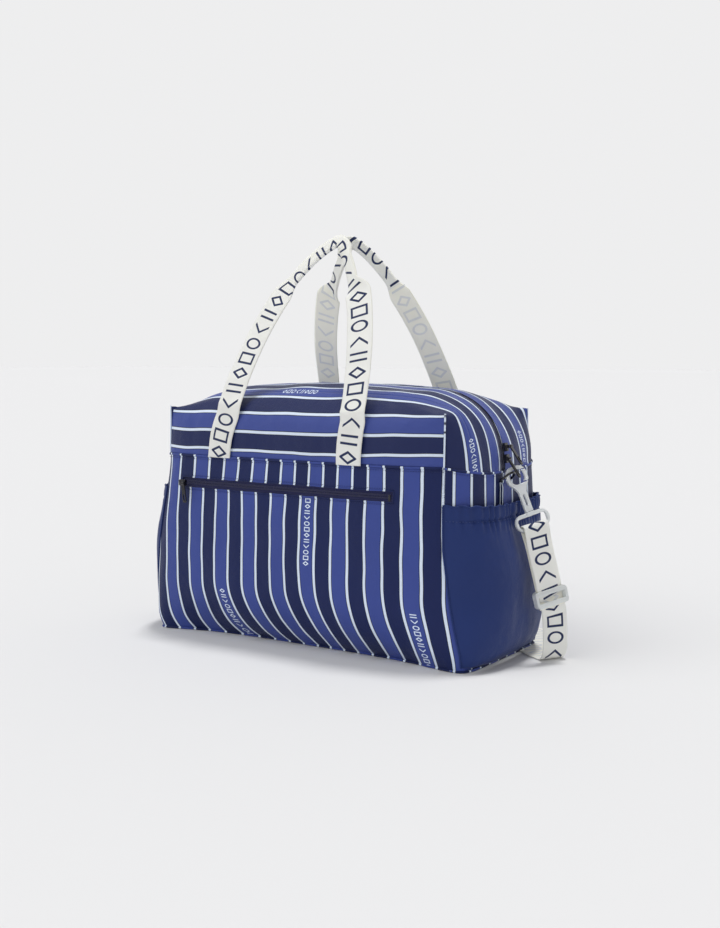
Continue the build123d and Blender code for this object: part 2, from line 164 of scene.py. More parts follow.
def sheet_grid(name, points, uv, material, keep=None, thick=0.7, closed=False, flip=False, inside=None):
    """A cloth panel from a grid of points (rows, columns, 3), given thickness and a lining on its inner side."""
    rows, columns = points.shape[:2]
    faces = grid_faces(rows, columns, keep, closed)
    if flip:
        faces = [face[::-1] for face in faces]
    materials = [material] if inside is None else [material, inside]
    obj = make_mesh(name, points.reshape(-1, 3), faces, uv.reshape(-1, 2), materials=materials)
    drop_loose(obj)
    if thick:
        add_thickness(obj, thick, inside is not None)
    return obj


def drop_loose(obj):
    """Removes the vertices that no face uses."""
    work = bmesh.new()
    work.from_mesh(obj.data)
    bmesh.ops.delete(work, geom=[v for v in work.verts if not v.link_faces], context="VERTS")
    work.to_mesh(obj.data)
    work.free()


def apply_modifiers(obj):
    depsgraph = bpy.context.evaluated_depsgraph_get()
    mesh = bpy.data.meshes.new_from_object(obj.evaluated_get(depsgraph))
    obj.modifiers.clear()
    obj.data = mesh


def add_thickness(obj, thick, lined=False):
    modifier = obj.modifiers.new("thickness", "SOLIDIFY")
    modifier.material_offset = 1 if lined else 0
    modifier.thickness = thick * MM
    modifier.offset = -1
    modifier.use_even_offset = False
    apply_modifiers(obj)


def ribbon(name, path, across, widths, thick, materials, shift=0.0, start=0.0, crown=0.0):
    """Flat webbing along a path in mm. across gives the direction over its width at each point. The face on the
    side of (along x across) takes the first material and the other face the second."""
    path = np.asarray(path, float)
    count = len(path)
    widths = np.broadcast_to(np.asarray(widths, float), (count,))
    thicks = np.broadcast_to(np.asarray(thick, float), (count,))
    shifts = np.broadcast_to(np.asarray(shift, float), (count,))
    tangent = np.gradient(path, axis=0)
    tangent /= np.linalg.norm(tangent, axis=1, keepdims=True)
    across = np.asarray(across, float)
    across = across - tangent * np.sum(across * tangent, axis=1, keepdims=True)
    across /= np.linalg.norm(across, axis=1, keepdims=True)
    normal = np.cross(tangent, across)
    run = arc_lengths(path) + start
    profile = [(-0.5, 0.0), (-0.485, 0.42), (-0.42, 0.5), (-0.25, 0.5), (0.0, 0.5), (0.25, 0.5), (0.42, 0.5),
               (0.485, 0.42), (0.5, 0.0), (0.485, -0.42), (0.42, -0.5), (0.25, -0.5), (0.0, -0.5), (-0.25, -0.5),
               (-0.42, -0.5), (-0.485, -0.42)]
    sides = len(profile)
    vertices = []
    uvs = []
    for i in range(count):
        for a, h in profile:
            lift = crown * (1 - (2 * a) ** 2)
            vertices.append(path[i] + across[i] * a * widths[i] + normal[i] * (h * thicks[i] + lift))
            uvs.append((run[i] * MM, (a * widths[i] + shifts[i]) * MM))
    faces = []
    slots = []
    for i in range(count - 1):
        for k in range(sides):
            m = (k + 1) % sides
            faces.append((i * sides + k, i * sides + m, (i + 1) * sides + m, (i + 1) * sides + k))
            slots.append(0 if k < 8 else 1)
    faces.append(tuple(range(sides))[::-1])
    faces.append(tuple((count - 1) * sides + k for k in range(sides)))
    slots += [0, 0]
    return make_mesh(name, vertices, faces, uvs, slots, materials)


def tube(name, path, radius, material, uv_rows=None, sides=8, closed=False, squash=1.0, up=None):
    """A round or flattened tube along a path in mm, with closed ends."""
    path = np.asarray(path, float)
    count = len(path)
    tangent = np.gradient(path, axis=0)
    tangent /= np.maximum(np.linalg.norm(tangent, axis=1, keepdims=True), 1e-9)
    reference = np.broadcast_to(np.asarray((0, 0, 1.0) if up is None else up, float), (count, 3))
    side = np.cross(tangent, reference)
    side /= np.maximum(np.linalg.norm(side, axis=1, keepdims=True), 1e-9)
    over = np.cross(side, tangent)
    vertices = []
    uvs = []
    run = arc_lengths(path)
    for i in range(count):
        for k in range(sides):
            angle = 2 * math.pi * k / sides
            offset = side[i] * math.cos(angle) + over[i] * math.sin(angle) * squash
            vertices.append(path[i] + offset * radius)
            uvs.append((run[i] * MM, 0.0) if uv_rows is None else tuple(uv_rows[i]))
    faces = grid_faces(count, sides, closed=True)
    if not closed:
        faces.append(tuple(range(sides)))
        faces.append(tuple((count - 1) * sides + k for k in range(sides))[::-1])
    faces = [face[::-1] for face in faces]
    return make_mesh(name, vertices, faces, uvs, materials=[material])


def ring_faces(base, rings, sides=6):
    """The faces round a stack of rings of points, with both ends closed."""
    faces = []
    for row in range(rings - 1):
        for k in range(sides):
            a = base + row * sides + k
            b = base + row * sides + (k + 1) % sides
            faces.append((a, b, b + sides, a + sides))
    faces.append(tuple(base + k for k in range(sides))[::-1])
    faces.append(tuple(base + (rings - 1) * sides + k for k in range(sides)))
    return faces


def stitches(name, path, normals, material, step=3.4, long=2.3, radius=0.28):
    """A row of separate thread stitches that lie on a surface along a path."""
    path = np.asarray(path, float)
    run = arc_lengths(path)
    count = max(2, int(run[-1] / step))
    starts = (np.arange(count) + 0.2) * run[-1] / count
    vertices = []
    faces = []
    for begin in starts:
        ends = []
        for at in (begin, begin + 0.5 * long, begin + long):
            ends.append([np.interp(at, run, path[:, k]) for k in range(3)])
        a, middle, b = (np.array(p) for p in ends)
        up = unit([np.interp(begin, run, normals[:, k]) for k in range(3)])
        along = unit(b - a)
        side = np.cross(along, up)
        base = len(vertices)
        for centre, grow, lift in ((a, 0.45, -0.1), (middle, 1.0, 0.16), (b, 0.45, -0.1)):
            for k in range(6):
                angle = math.pi * k / 3
                ring = side * math.cos(angle) + up * math.sin(angle)
                vertices.append(centre + up * (lift + radius * 0.3) + ring * radius * grow)
        faces += ring_faces(base, 3)
    return make_mesh(name, vertices, faces, materials=[material])


def join(name, objects):
    """One object from several."""
    for obj in bpy.context.selected_objects:
        obj.select_set(False)
    for obj in objects:
        obj.select_set(True)
    bpy.context.view_layer.objects.active = objects[0]
    bpy.ops.object.join()
    objects[0].name = name
    return objects[0]


def moulded(name, node, material, voxel, rounds=2):
    """A copy of a CAD node with its edges softened, as a moulded or cast piece has them."""
    source = frame["nodes"][node]
    obj = bpy.data.objects.new(name, source.data.copy())
    bpy.context.scene.collection.objects.link(obj)
    obj.data.materials.clear()
    obj.data.materials.append(material)
    remesh = obj.modifiers.new("remesh", "REMESH")
    remesh.mode = "VOXEL"
    remesh.voxel_size = voxel * MM
    remesh.use_smooth_shade = True
    soften = obj.modifiers.new("soften", "SMOOTH")
    soften.factor = 0.5
    soften.iterations = rounds
    apply_modifiers(obj)
    obj.data.polygons.foreach_set("use_smooth", [True] * len(obj.data.polygons))
    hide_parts(node)
    return obj


# ---------------------------------------------------------------- node helpers
class Shader:
    """A principled material whose pattern is written as short sums."""

    def __init__(self, name, roughness=0.5, specular=0.5, sheen=0.0, **values):
        self.material = bpy.data.materials.new(name)
        self.material.use_nodes = True
        self.tree = self.material.node_tree
        self.surface = self.tree.nodes["Principled BSDF"]
        self.surface.inputs["Roughness"].default_value = roughness
        self.surface.inputs["Specular IOR Level"].default_value = specular
        self.surface.inputs["Sheen Weight"].default_value = sheen
        for key, value in values.items():
            self.surface.inputs[key.replace("_", " ")].default_value = value

    def node(self, kind, **inputs):
        made = self.tree.nodes.new(kind)
        for key, value in inputs.items():
            self.put(made.inputs[key.replace("_", " ")], value)
        return made

    def put(self, socket, value):
        if isinstance(value, bpy.types.NodeSocket):
            self.tree.links.new(value, socket)
        else:
            socket.default_value = value

    def sum(self, operation, a, b=0.0, c=None):
        made = self.tree.nodes.new("ShaderNodeMath")
        made.operation = operation
        self.put(made.inputs[0], a)
        self.put(made.inputs[1], b)
        if c is not None:
            self.put(made.inputs[2], c)
        return made.outputs[0]

    def step(self, value, edge, soft):
        """1 below the edge and 0 above it, with a soft change."""
        made = self.node("ShaderNodeMapRange")
        made.interpolation_type = "SMOOTHSTEP"
        self.put(made.inputs["Value"], value)
        self.put(made.inputs["From Min"], edge - soft)
        self.put(made.inputs["From Max"], edge + soft)
        made.inputs["To Min"].default_value = 1
        made.inputs["To Max"].default_value = 0
        return made.outputs["Result"]

    def mix(self, factor, a, b):
        made = self.tree.nodes.new("ShaderNodeMix")
        made.data_type = "RGBA"
        self.put(made.inputs["Factor"], factor)
        self.put(made.inputs["A"], a)
        self.put(made.inputs["B"], b)
        return made.outputs["Result"]

    def uv(self):
        made = self.node("ShaderNodeUVMap")
        made.uv_map = "cloth"
        split = self.tree.nodes.new("ShaderNodeSeparateXYZ")
        self.tree.links.new(made.outputs["UV"], split.inputs[0])
        return split.outputs["X"], split.outputs["Y"]

    def place(self):
        return self.node("ShaderNodeTexCoord").outputs["Object"]

    def noise(self, scale, detail=2.0, vector=None, rough=0.5):
        made = self.node("ShaderNodeTexNoise", Scale=scale, Detail=detail, Roughness=rough)
        self.tree.links.new(self.place() if vector is None else vector, made.inputs["Vector"])
        return made.outputs["Fac"]

    def near(self, value, centre, reach, soft):
        """1 where a value is within reach of centre, and 0 outside."""
        return self.step(self.sum("ABSOLUTE", self.sum("SUBTRACT", value, centre)), reach, soft)

    def weave(self, u, v, along, over):
        """Crossed waves, for threads that lie along and over each other at two spacings in metres."""
        ribs = self.sum("SINE", self.sum("MULTIPLY", u, 2 * math.pi / along))
        rows = self.sum("SINE", self.sum("MULTIPLY", v, 2 * math.pi / over))
        return self.sum("MULTIPLY", ribs, rows)

    def shaded(self, tint, scale, spread):
        """A colour made lighter and darker in soft patches, by up to spread."""
        shade = self.node("ShaderNodeMapRange", Value=self.noise(scale, 3.0))
        shade.inputs["To Min"].default_value = 1 - spread
        shade.inputs["To Max"].default_value = 1 + spread
        return self.node("ShaderNodeHueSaturation", Color=tint, Value=shade.outputs["Result"]).outputs["Color"]

    def bump(self, height, distance, strength=1.0, normal=None):
        made = self.node("ShaderNodeBump", Strength=strength, Distance=distance)
        self.put(made.inputs["Height"], height)
        if normal is not None:
            self.put(made.inputs["Normal"], normal)
        return made.outputs["Normal"]

    def finish(self, colour, normal=None, roughness=None):
        self.put(self.surface.inputs["Base Color"], colour)
        if normal is not None:
            self.put(self.surface.inputs["Normal"], normal)
        if roughness is not None:
            self.put(self.surface.inputs["Roughness"], roughness)
        return self.material


def colour(red, green, blue):
    """An sRGB colour, 0 to 255, as the linear colour that shaders take."""
    linear = [((c / 255 + 0.055) / 1.055) ** 2.4 if c > 10 else c / 255 / 12.92 for c in (red, green, blue)]
    return (*linear, 1.0)


NAVY = colour(16, 30, 80)
NAVY_DARK = colour(12, 16, 44)
BLUE = colour(58, 74, 146)
WHITE = colour(218, 230, 246)
PLAIN = colour(28, 48, 104)
TAPE = colour(30, 32, 76)
CREAM = colour(238, 238, 232)
# the back faces' cream is lighter than the front's CREAM: painted light, standing in for the light that the shaded
# inner faces of the handles and strap miss
CREAM_BACK_PAINTED_LIGHT = colour(250, 248, 233)
GHOST = colour(214, 217, 220)
MOTIF = colour(30, 44, 84)


def motif(shader, along, over, cell, high, stroke):
    """A row of plain geometric signs: diamond, square, ring, chevron and double bar. 1 inside a stroke."""
    index = shader.sum("FLOOR", shader.sum("DIVIDE", along, cell))
    x = shader.sum("SUBTRACT", shader.sum("SUBTRACT", along, shader.sum("MULTIPLY", index, cell)), cell / 2)
    across = shader.sum("ABSOLUTE", over)
    aside = shader.sum("ABSOLUTE", x)
    half = high / 2
    wide = cell * 0.36
    soft = stroke * 0.12
    limit = shader.step(across, half, soft)
    box = shader.sum("MAXIMUM", shader.sum("SUBTRACT", aside, wide * 0.85),
                     shader.sum("SUBTRACT", across, half * 0.85))
    square = shader.step(shader.sum("ABSOLUTE", box), stroke / 2, soft)
    stretched = shader.sum("MULTIPLY", x, 0.95 * half / wide)
    radius = shader.sum("SQRT", shader.sum("ADD", shader.sum("MULTIPLY", stretched, stretched),
                                           shader.sum("MULTIPLY", over, over)))
    ring = shader.near(radius, half * 0.84, stroke * 0.62, soft)
    slant = shader.sum("ADD", shader.sum("MULTIPLY", aside, half / wide), across)
    thick = stroke / 2 * math.hypot(1, half / wide)
    diamond = shader.near(slant, half * 0.86, thick, soft)
    lean = shader.sum("SUBTRACT", shader.sum("ADD", x, wide * 0.6),
                      shader.sum("MULTIPLY", across, 1.3 * wide / half))
    chevron = shader.step(shader.sum("ABSOLUTE", lean), stroke * 0.62, soft)
    pair = shader.near(aside, wide * 0.6, stroke / 2, soft)
    kind = shader.sum("FLOORED_MODULO", index, 5.0)
    total = 0.0
    for number, shape in enumerate((diamond, square, ring, chevron, pair)):
        chosen = shader.near(kind, float(number), 0.5, 0.01)
        total = shader.sum("ADD", total, shader.sum("MULTIPLY", chosen, shape))
    return shader.sum("MULTIPLY", total, limit)


def crinkle(shader, weave_u, weave_v):
    """The normal of thin plain-woven cloth: fine threads over a soft crinkle."""
    broad = shader.bump(shader.noise(13.0, 3.0), 0.014, 0.3)
    soft = shader.bump(shader.noise(38.0, 3.0), 0.004, 0.35, broad)
    finer = shader.bump(shader.noise(170.0, 2.0), 0.0012, 0.22, soft)
    return shader.bump(shader.weave(weave_u, weave_v, 0.0007, 0.0007), 0.00008, 0.35, finer)


def striped_cloth(name, marks=(), specular=0.22):
    """Printed stripes. The map's u counts white lines and its v is metres along the stripe. A mark is the number
    of a blue band, where it starts, and how long it is: a short row of small white signs."""
    shader = Shader(name, roughness=0.46, specular=specular, sheen=0.04)
    u, v = shader.uv()
    band = shader.sum("FLOOR", u)
    odd = shader.sum("FLOORED_MODULO", band, 2.0)
    ground = shader.mix(odd, BLUE, NAVY)
    from_line = shader.sum("ABSOLUTE", shader.sum("SUBTRACT", u, shader.sum("ROUND", u)))
    hair = shader.step(from_line, 0.108, 0.008)
    line = shader.step(from_line, 0.072, 0.008)
    tinted = shader.mix(hair, ground, NAVY_DARK)
    printed = shader.mix(line, tinted, WHITE)
    for number, begin, long in marks:
        middle = shader.sum("MULTIPLY", shader.sum("SUBTRACT", u, number + 0.5), PITCH * MM)
        along = shader.sum("SUBTRACT", v, begin)
        signs = motif(shader, along, middle, 0.0074, 0.0085, 0.0013)
        here = shader.near(along, long / 2, long / 2, 0.0001)
        here = shader.sum("MULTIPLY", here, shader.step(shader.sum("ABSOLUTE", middle), 0.006, 0.0001))
        printed = shader.mix(shader.sum("MULTIPLY", signs, here), printed, WHITE)
    normal = crinkle(shader, shader.sum("MULTIPLY", u, PITCH * MM), v)
    return shader.finish(shader.shaded(printed, 9.0, 0.14), normal)


def plain_cloth(name, tint, roughness=0.5, sheen=0.04):
    shader = Shader(name, roughness=roughness, specular=0.22, sheen=sheen)
    u, v = shader.uv()
    return shader.finish(shader.shaded(tint, 12.0, 0.12), crinkle(shader, u, v))


def webbing(name, ground, ink, wide, high, strength=1.0):
    """Woven tape: u is metres along and v metres across from its middle, with a woven row of signs."""
    shader = Shader(name, roughness=0.72, specular=0.25, sheen=0.1, Subsurface_Weight=0.4)
    shader.surface.inputs["Subsurface Scale"].default_value = 0.004
    shader.surface.inputs["Subsurface Radius"].default_value = (1.0, 1.0, 0.9)
    u, v = shader.uv()
    signs = motif(shader, u, v, high * 0.86, high, high * 0.12)
    edge = shader.step(shader.sum("SUBTRACT", wide / 2, shader.sum("ABSOLUTE", v)), 0.0012, 0.0003)
    base = shader.mix(shader.sum("MULTIPLY", edge, 0.35), ground, colour(214, 212, 196))
    cloth = shader.mix(shader.sum("MULTIPLY", signs, strength), base, ink)
    threads = shader.bump(shader.weave(u, v, 0.0011, 0.0014), 0.00018, 0.5)
    normal = shader.bump(shader.noise(300.0), 0.0003, 0.3, threads)
    return shader.finish(shader.shaded(cloth, 25.0, 0.07), normal)


def zip_cloth():
    shader = Shader("zip_tape_weave", roughness=0.7, specular=0.25, sheen=0.2)
    u, v = shader.uv()
    lift = shader.bump(shader.weave(u, v, 0.0009, 0.0012), 0.00015, 0.6)
    tone = shader.mix(shader.noise(60.0), TAPE, colour(34, 38, 82))
    return shader.finish(tone, lift)


def black_metal():
    shader = Shader("black_nickel", roughness=0.24, Metallic=0.9, Coat_Weight=0.4, Coat_Roughness=0.15)
    worn = shader.noise(220.0, 3.0)
    tone = shader.mix(worn, colour(26, 26, 29), colour(62, 62, 66))
    return shader.finish(tone, shader.bump(shader.noise(500.0), 0.00012, 0.15))


def clear_plastic():
    shader = Shader("milky_plastic", roughness=0.28, IOR=1.46, Transmission_Weight=0.35, Subsurface_Weight=0.4,
                    Coat_Weight=0.25)
    shader.surface.inputs["Subsurface Scale"].default_value = 0.01
    shader.surface.inputs["Subsurface Radius"].default_value = (1.0, 1.0, 1.0)
    tone = shader.mix(shader.noise(40.0), colour(238, 243, 243), colour(246, 249, 249))
    return shader.finish(tone, shader.bump(shader.noise(260.0), 0.0002, 0.15))


def thread(name, tint):
    shader = Shader(name, roughness=0.6, specular=0.3)
    return shader.finish(shader.mix(shader.noise(900.0), tint, tuple(c * 0.75 for c in tint[:3]) + (1.0,)))


def coil_plastic():
    shader = Shader("coil_plastic", roughness=0.3, specular=0.6)
    return shader.finish(shader.mix(shader.noise(400.0), colour(26, 28, 66), colour(44, 46, 92)))


def board_plastic():
    shader = Shader("base_board_plastic", roughness=0.7, specular=0.3)
    tone = shader.mix(shader.noise(90.0, 4.0), colour(30, 30, 34), colour(46, 46, 50))
    return shader.finish(tone, shader.bump(shader.noise(400.0, 3.0), 0.0003, 0.4))


# ---------------------------------------------------------------- the body's shape
def half_outline(powers, side):
    turn = np.linspace(-math.pi / 2, math.pi / 2, 2401)
    power = np.where(turn < 0, powers[side, -1], powers[side, 1])
    x = np.abs(np.cos(turn)) ** (2 / power)
    y = np.sign(np.sin(turn)) * np.abs(np.sin(turn)) ** (2 / power)
    points = np.stack([side * x, y], axis=1)
    return arc_lengths(points * (HALF_X, HALF_Y)), points


def outline():
    """The plan outline as unit points against arc length in mm, from the middle of the front round the right end
    (positive) or the left end (negative) to the middle of the back. Each row is (x, y) at the seam and then (x, y)
    at the floor, where the corners are squarer."""
    halves = []
    for side in (1, -1):
        run, high = half_outline(SQUARENESS, side)
        low_run, low = half_outline(LOW_SQUARENESS, side)
        at = run * low_run[-1] / run[-1]
        low = np.stack([np.interp(at, low_run, low[:, k]) for k in range(2)], axis=1)
        halves.append((run, np.hstack([high, low])))
    (right_run, right), (left_run, left) = halves
    run = np.concatenate([-left_run[::-1], right_run[1:]])
    return run, np.vstack([left[::-1], right[1:]])


RUN, UNIT_OUTLINE = outline()
HALF_RUN = {1: RUN[-1], -1: -RUN[0]}


def plan(s, low):
    """Unit (x, y) at arc length s, between the seam's outline (low 0) and the floor's (low 1)."""
    high_x, high_y, low_x, low_y = (np.interp(s, RUN, UNIT_OUTLINE[:, k]) for k in range(4))
    return np.stack([high_x + (low_x - high_x) * low, high_y + (low_y - high_y) * low], axis=-1)


def corner_run(side, side_y):
    """The arc length at a corner seam: right or left (side 1 or -1), front or back (side_y -1 or 1)."""
    here = (UNIT_OUTLINE[:, 1] * side_y > 0) & (UNIT_OUTLINE[:, 0] * side > 0)
    unit_x = UNIT_OUTLINE[here, 0] * side
    order = np.argsort(unit_x)
    return float(np.interp(CORNER_X[side, side_y] / HALF_X, unit_x[order], RUN[here][order]))


CORNER = {key: corner_run(*key) for key in CORNER_X}


def half_length(z, unit_x):
    """Both ends stand out a little lower down, the left one more."""
    low = np.clip((26 - z) / 26, 0, 1)
    high = np.clip((z - 120) / 130, 0, 1)
    full = np.where(unit_x < 0, LEFT_SWELL, 3) * smoothstep(245, 70, z)
    return HALF_X + full - np.where(unit_x < 0, 9, 4) * low ** 2 - 2 * high ** 2


def half_depth(z, unit_x):
    """The front and back tuck under in the middle and hardly at the corners."""
    low = np.clip((82 - z) / 82, 0, 1)
    high = np.clip((z - 110) / 140, 0, 1)
    held = np.where(unit_x < 0, 0.94, 0.82) * np.abs(unit_x) ** 4
    return HALF_Y - 44 * low ** 2 * (1 - held) - 8 * high ** 1.6


def wall(s, z, out=0.0):
    """Points of the lower body's wall, moved outward by out."""
    s, z = np.broadcast_arrays(np.asarray(s, float), np.asarray(z, float))
    low = smoothstep(110, 15, z)
    where = plan(s, low)
    ahead = plan(s + 1.0, low) - plan(s - 1.0, low)
    normal = np.stack([ahead[..., 1] * HALF_Y, -ahead[..., 0] * HALF_X], axis=-1)
    normal /= np.maximum(np.linalg.norm(normal, axis=-1, keepdims=True), 1e-9)
    x = where[..., 0] * half_length(z, where[..., 0]) + normal[..., 0] * out
    y = where[..., 1] * half_depth(z, where[..., 0]) + normal[..., 1] * out
    return np.stack([x, y, z], axis=-1)


CORNER_AT = {key: wall(run, SEAM_Z) for key, run in CORNER.items()}


def seam_height(points):
    """The seam all round: level along the front and back, a little lower in the middle of each end."""
    front = np.where(points[..., 0] > 0, CORNER_AT[1, -1][1], CORNER_AT[-1, -1][1])
    back = np.where(points[..., 0] > 0, CORNER_AT[1, 1][1], CORNER_AT[-1, 1][1])
    share = np.clip(points[..., 1] / np.where(points[..., 1] < 0, front, back), 0, 1)
    return SEAM_Z - SEAM_DIP * (1 - share ** 3)


def face_run(share, side_y):
    """Arc length at a share of the way from the middle of the front or back (0) to a corner seam (-1 or 1)."""
    if side_y < 0:
        return np.where(share < 0, -share * CORNER[-1, -1], share * CORNER[1, -1])
    right = HALF_RUN[1] + share * (CORNER[1, 1] - HALF_RUN[1])
    left = -HALF_RUN[-1] - share * (CORNER[-1, 1] + HALF_RUN[-1])
    return np.where(share < 0, left, right)


def wall_wrinkles(points, seed=0.0):
    """How far the filled lower wall stands out or in: soft dents, small creases, and gathers below the seam."""
    broad = noise_field(points, (80, 80, 100), seed) * 2.2
    folds = noise_field(points, (24, 24, 75), seed + 5) * 1.0
    free = np.clip((SEAM_Z - points[..., 2]) / 30, 0, 1)
    near_seam = np.clip(1 - (SEAM_Z - points[..., 2]) / 22, 0, 1)
    gathers = noise_field(points, (9, 9, 300), seed + 9) * near_seam ** 2 * 0.9
    near_floor = np.clip(1 - points[..., 2] / 60, 0, 1)
    sag = noise_field(points, (30, 30, 24), seed + 13) * near_floor * 1.3
    return (broad + folds) * free + gathers + sag


def filled_wall(s, z, out=0.0, seed=0.0):
    return wall(s, z, out + wall_wrinkles(wall(s, z), seed))


# ---------------------------------------------------------------- stripes
def front_stripes(s, z):
    """Lines counted along the front: even, but pushed sideways low down where the cloth sags under."""
    s = np.where(s < 0, s * (1 + LEFT_SWELL / HALF_X * smoothstep(245, 70, z)), s)
    sag = np.clip((112 - z) / 112, 0, 1) ** 2
    push = (7 + 29 * np.exp(-((s + 75) / 125) ** 2)) * sag * np.clip(1 + s / 240, 0.25, 1)
    wobble = noise_field(np.stack([s, 0 * s, z + 0 * s], axis=-1), (60, 60, 34), 4.0) * 0.055
    return (s - push + 17.2) / (24.25 + 0.005 * s) + 1 + wobble


def above_pocket_shift(s):
    """The strip above the pocket zip was cut apart from the rest, so its lines don't meet those below."""
    part = np.clip((150 - s) / 355, 0, 1)
    return 16 * np.sin(math.pi * part ** 1.3) / PITCH


# ---------------------------------------------------------------- lower body panels
def front_panel(material):
    """The front from the base edge to the seam, wrapped a little round both corners, with the pocket's slot."""
    slot_left, slot_right, slot_low, slot_high = POCKET_SLOT
    z = np.unique(np.concatenate([np.linspace(0.5, 1, 2), np.linspace(1, 82, 34), np.linspace(82, slot_low, 46),
                                  np.linspace(slot_low, slot_high, 6), np.linspace(slot_high, SEAM_Z, 14)]))
    share = np.unique(np.concatenate([np.linspace(-1, 1, 321),
                                      [-slot_left / CORNER[-1, -1], slot_right / CORNER[1, -1]]]))
    grid_share, grid_z = np.meshgrid(share, z)
    wrap = 1.5 + 22 * np.clip((150 - grid_z) / 150, 0, 1)
    past = np.clip((np.abs(grid_share) - 0.9) / 0.1, 0, 1)
    s = face_run(grid_share, -1) + np.sign(grid_share) * wrap * past
    points = filled_wall(s, grid_z)
    lines = front_stripes(s, grid_z)
    above = (grid_z > slot_high - 0.1) & (s > slot_left - 0.1) & (s < slot_right + 0.1)
    lines = lines - np.where(above, above_pocket_shift(s), 0)
    uv = np.stack([lines, grid_z * MM], axis=-1)
    middle_s = (s[:-1, :-1] + s[1:, 1:]) / 2
    middle_z = (grid_z[:-1, :-1] + grid_z[1:, 1:]) / 2
    in_slot = (middle_z > slot_low) & (middle_z < slot_high) & (middle_s > slot_left) & (middle_s < slot_right)
    obj = sheet_grid("front_panel_cloth", points, uv, material, keep=~in_slot)
    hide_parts("front_panel")
    return obj


def back_panel(material):
    z = np.concatenate([np.linspace(0.5, 82, 34), np.linspace(84, SEAM_Z, 50)])
    share = np.linspace(-1, 1, 260)
    grid_share, grid_z = np.meshgrid(share, z)
    tuck = 12 * np.clip((150 - grid_z) / 150, 0, 1) * grid_share ** 8
    s = face_run(grid_share, 1) - np.sign(grid_share) * tuck
    points = filled_wall(s, grid_z)
    uv = np.stack([grid_share * 210 / PITCH + 0.4, grid_z * MM], axis=-1)
    obj = sheet_grid("back_panel_cloth", points, uv, material, flip=True)
    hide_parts("rear_panel")
    return obj


def end_run(side):
    """The arc length at the middle of an end, where y is 0."""
    middle = float(np.interp(0, UNIT_OUTLINE[RUN * side > 0][::side, 1], np.abs(RUN[RUN * side > 0][::side])))
    return side * middle


def end_reach(side, across):
    """How far round an end each share of the way to its front (-1) or back (1) corner seam lies."""
    front = abs(end_run(side)) - abs(CORNER[side, -1])
    back = abs(CORNER[side, 1]) - abs(end_run(side))
    return np.where(across < 0, front, back)


def end_panel(side, name, material):
    """The striped panel of an end, from the base edge up to the seam; the pocket hides its lower part."""
    z = np.concatenate([np.linspace(0.5, 60, 22), np.linspace(62, 200, 26), [202], np.linspace(204, SEAM_Z, 20)])
    across = np.linspace(-1, 1, 110)
    grid_across, grid_z = np.meshgrid(across, z)
    reach = end_reach(side, grid_across)
    s = end_run(side) + side * grid_across * (reach + 1.0)
    top = seam_height(wall(s, SEAM_Z))
    grid_z = np.where(grid_z > 200, 200 + (grid_z - 200) * (top - 200) / (SEAM_Z - 200), grid_z)
    points = filled_wall(s, grid_z, -1.6 * np.clip((204 - grid_z) / 20, 0, 1))
    uv = np.stack([grid_across * (reach + 1.0) / PITCH + 0.02, grid_z * MM], axis=-1)
    obj = sheet_grid(f"{name}_end_panel_cloth", points, uv, material, flip=side < 0)
    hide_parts(f"{name}_end_panel")
    return obj


def base_panel(material):
    """The flat base, inside the lower edge of the four walls."""
    s = np.linspace(-HALF_RUN[-1], HALF_RUN[1], 241)[:-1]
    rim = wall(s, 0.5)
    rings = []
    for share in (0.0, 0.4, 0.7, 0.9, 0.97, 1.0):
        ring = rim * (share, share, 1)
        ring[:, 2] = 0.4 + 0.6 * share ** 8
        rings.append(ring)
    points = np.array(rings)
    uv = points[..., :2][..., ::-1] * (1 / PITCH, MM)
    obj = sheet_grid("base_panel_cloth", points, uv, material, closed=True, thick=0)
    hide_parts("base_panel")
    return obj


# ---------------------------------------------------------------- upper body
def zip_line(u):
    """The mouth's middle line in the x-z plane: u is 0 in the middle of the top and 1 at the seam of an end."""
    centre_x, centre_z, radius = SHOULDER
    run = np.asarray(u, float) * (centre_x + radius * math.pi / 2)
    angle = np.clip((run - centre_x) / radius, 0, math.pi / 2)
    x = np.where(run < centre_x, run, centre_x + radius * np.sin(angle))
    z = centre_z + radius * np.cos(angle) + (CROWN - centre_z - radius) * np.clip(1 - (run / 180) ** 2, 0, 1)
    drop = centre_z - (SEAM_Z - SEAM_DIP)
    return x, z - drop * np.clip((u - 0.8) / 0.2, 0, 1) ** 2


EDGE_DOWN = CORNER_TOP - SEAM_Z
EDGE_ALONG = 208
MIDDLE_DEPTH = 107              # of the top's outer edge, half way along
EDGE_SHARE = EDGE_ALONG / (EDGE_ALONG + EDGE_DOWN)


def edge_line(u, side_y):
    """The top cloth's outer edge: along the top of the front or back, then down a corner seam. Gives x, depth, z."""
    run = np.abs(u) * (EDGE_ALONG + EDGE_DOWN)
    along = np.clip(run, 0, EDGE_ALONG) / EDGE_ALONG
    down = np.clip(run - EDGE_ALONG, 0, EDGE_DOWN) / EDGE_DOWN
    left, right = CORNER_AT[-1, side_y], CORNER_AT[1, side_y]
    corner_x = np.where(np.asarray(u) < 0, -left[0], right[0])
    corner_depth = np.where(np.asarray(u) < 0, abs(left[1]), abs(right[1]))
    bulge = 1 - along ** 3
    depth = corner_depth + (MIDDLE_DEPTH - corner_depth) * bulge - 2 * (1 - down)
    return along * corner_x, depth, CORNER_TOP - EDGE_DOWN * down + 1.5 * bulge


def end_share(v, side, side_y):
    """How far out an end's outline stands at share v of the way from its middle to its corner: 1 to 0."""
    corner = CORNER_AT[side, side_y]
    line = wall(np.linspace(CORNER[side, side_y], end_run(side), 400), SEAM_Z)
    out = (np.abs(line[:, 0]) - abs(corner[0])) / (np.abs(line[-1, 0]) - abs(corner[0]))
    return np.interp(v, np.abs(line[::-1, 1] / corner[1]), out[::-1])


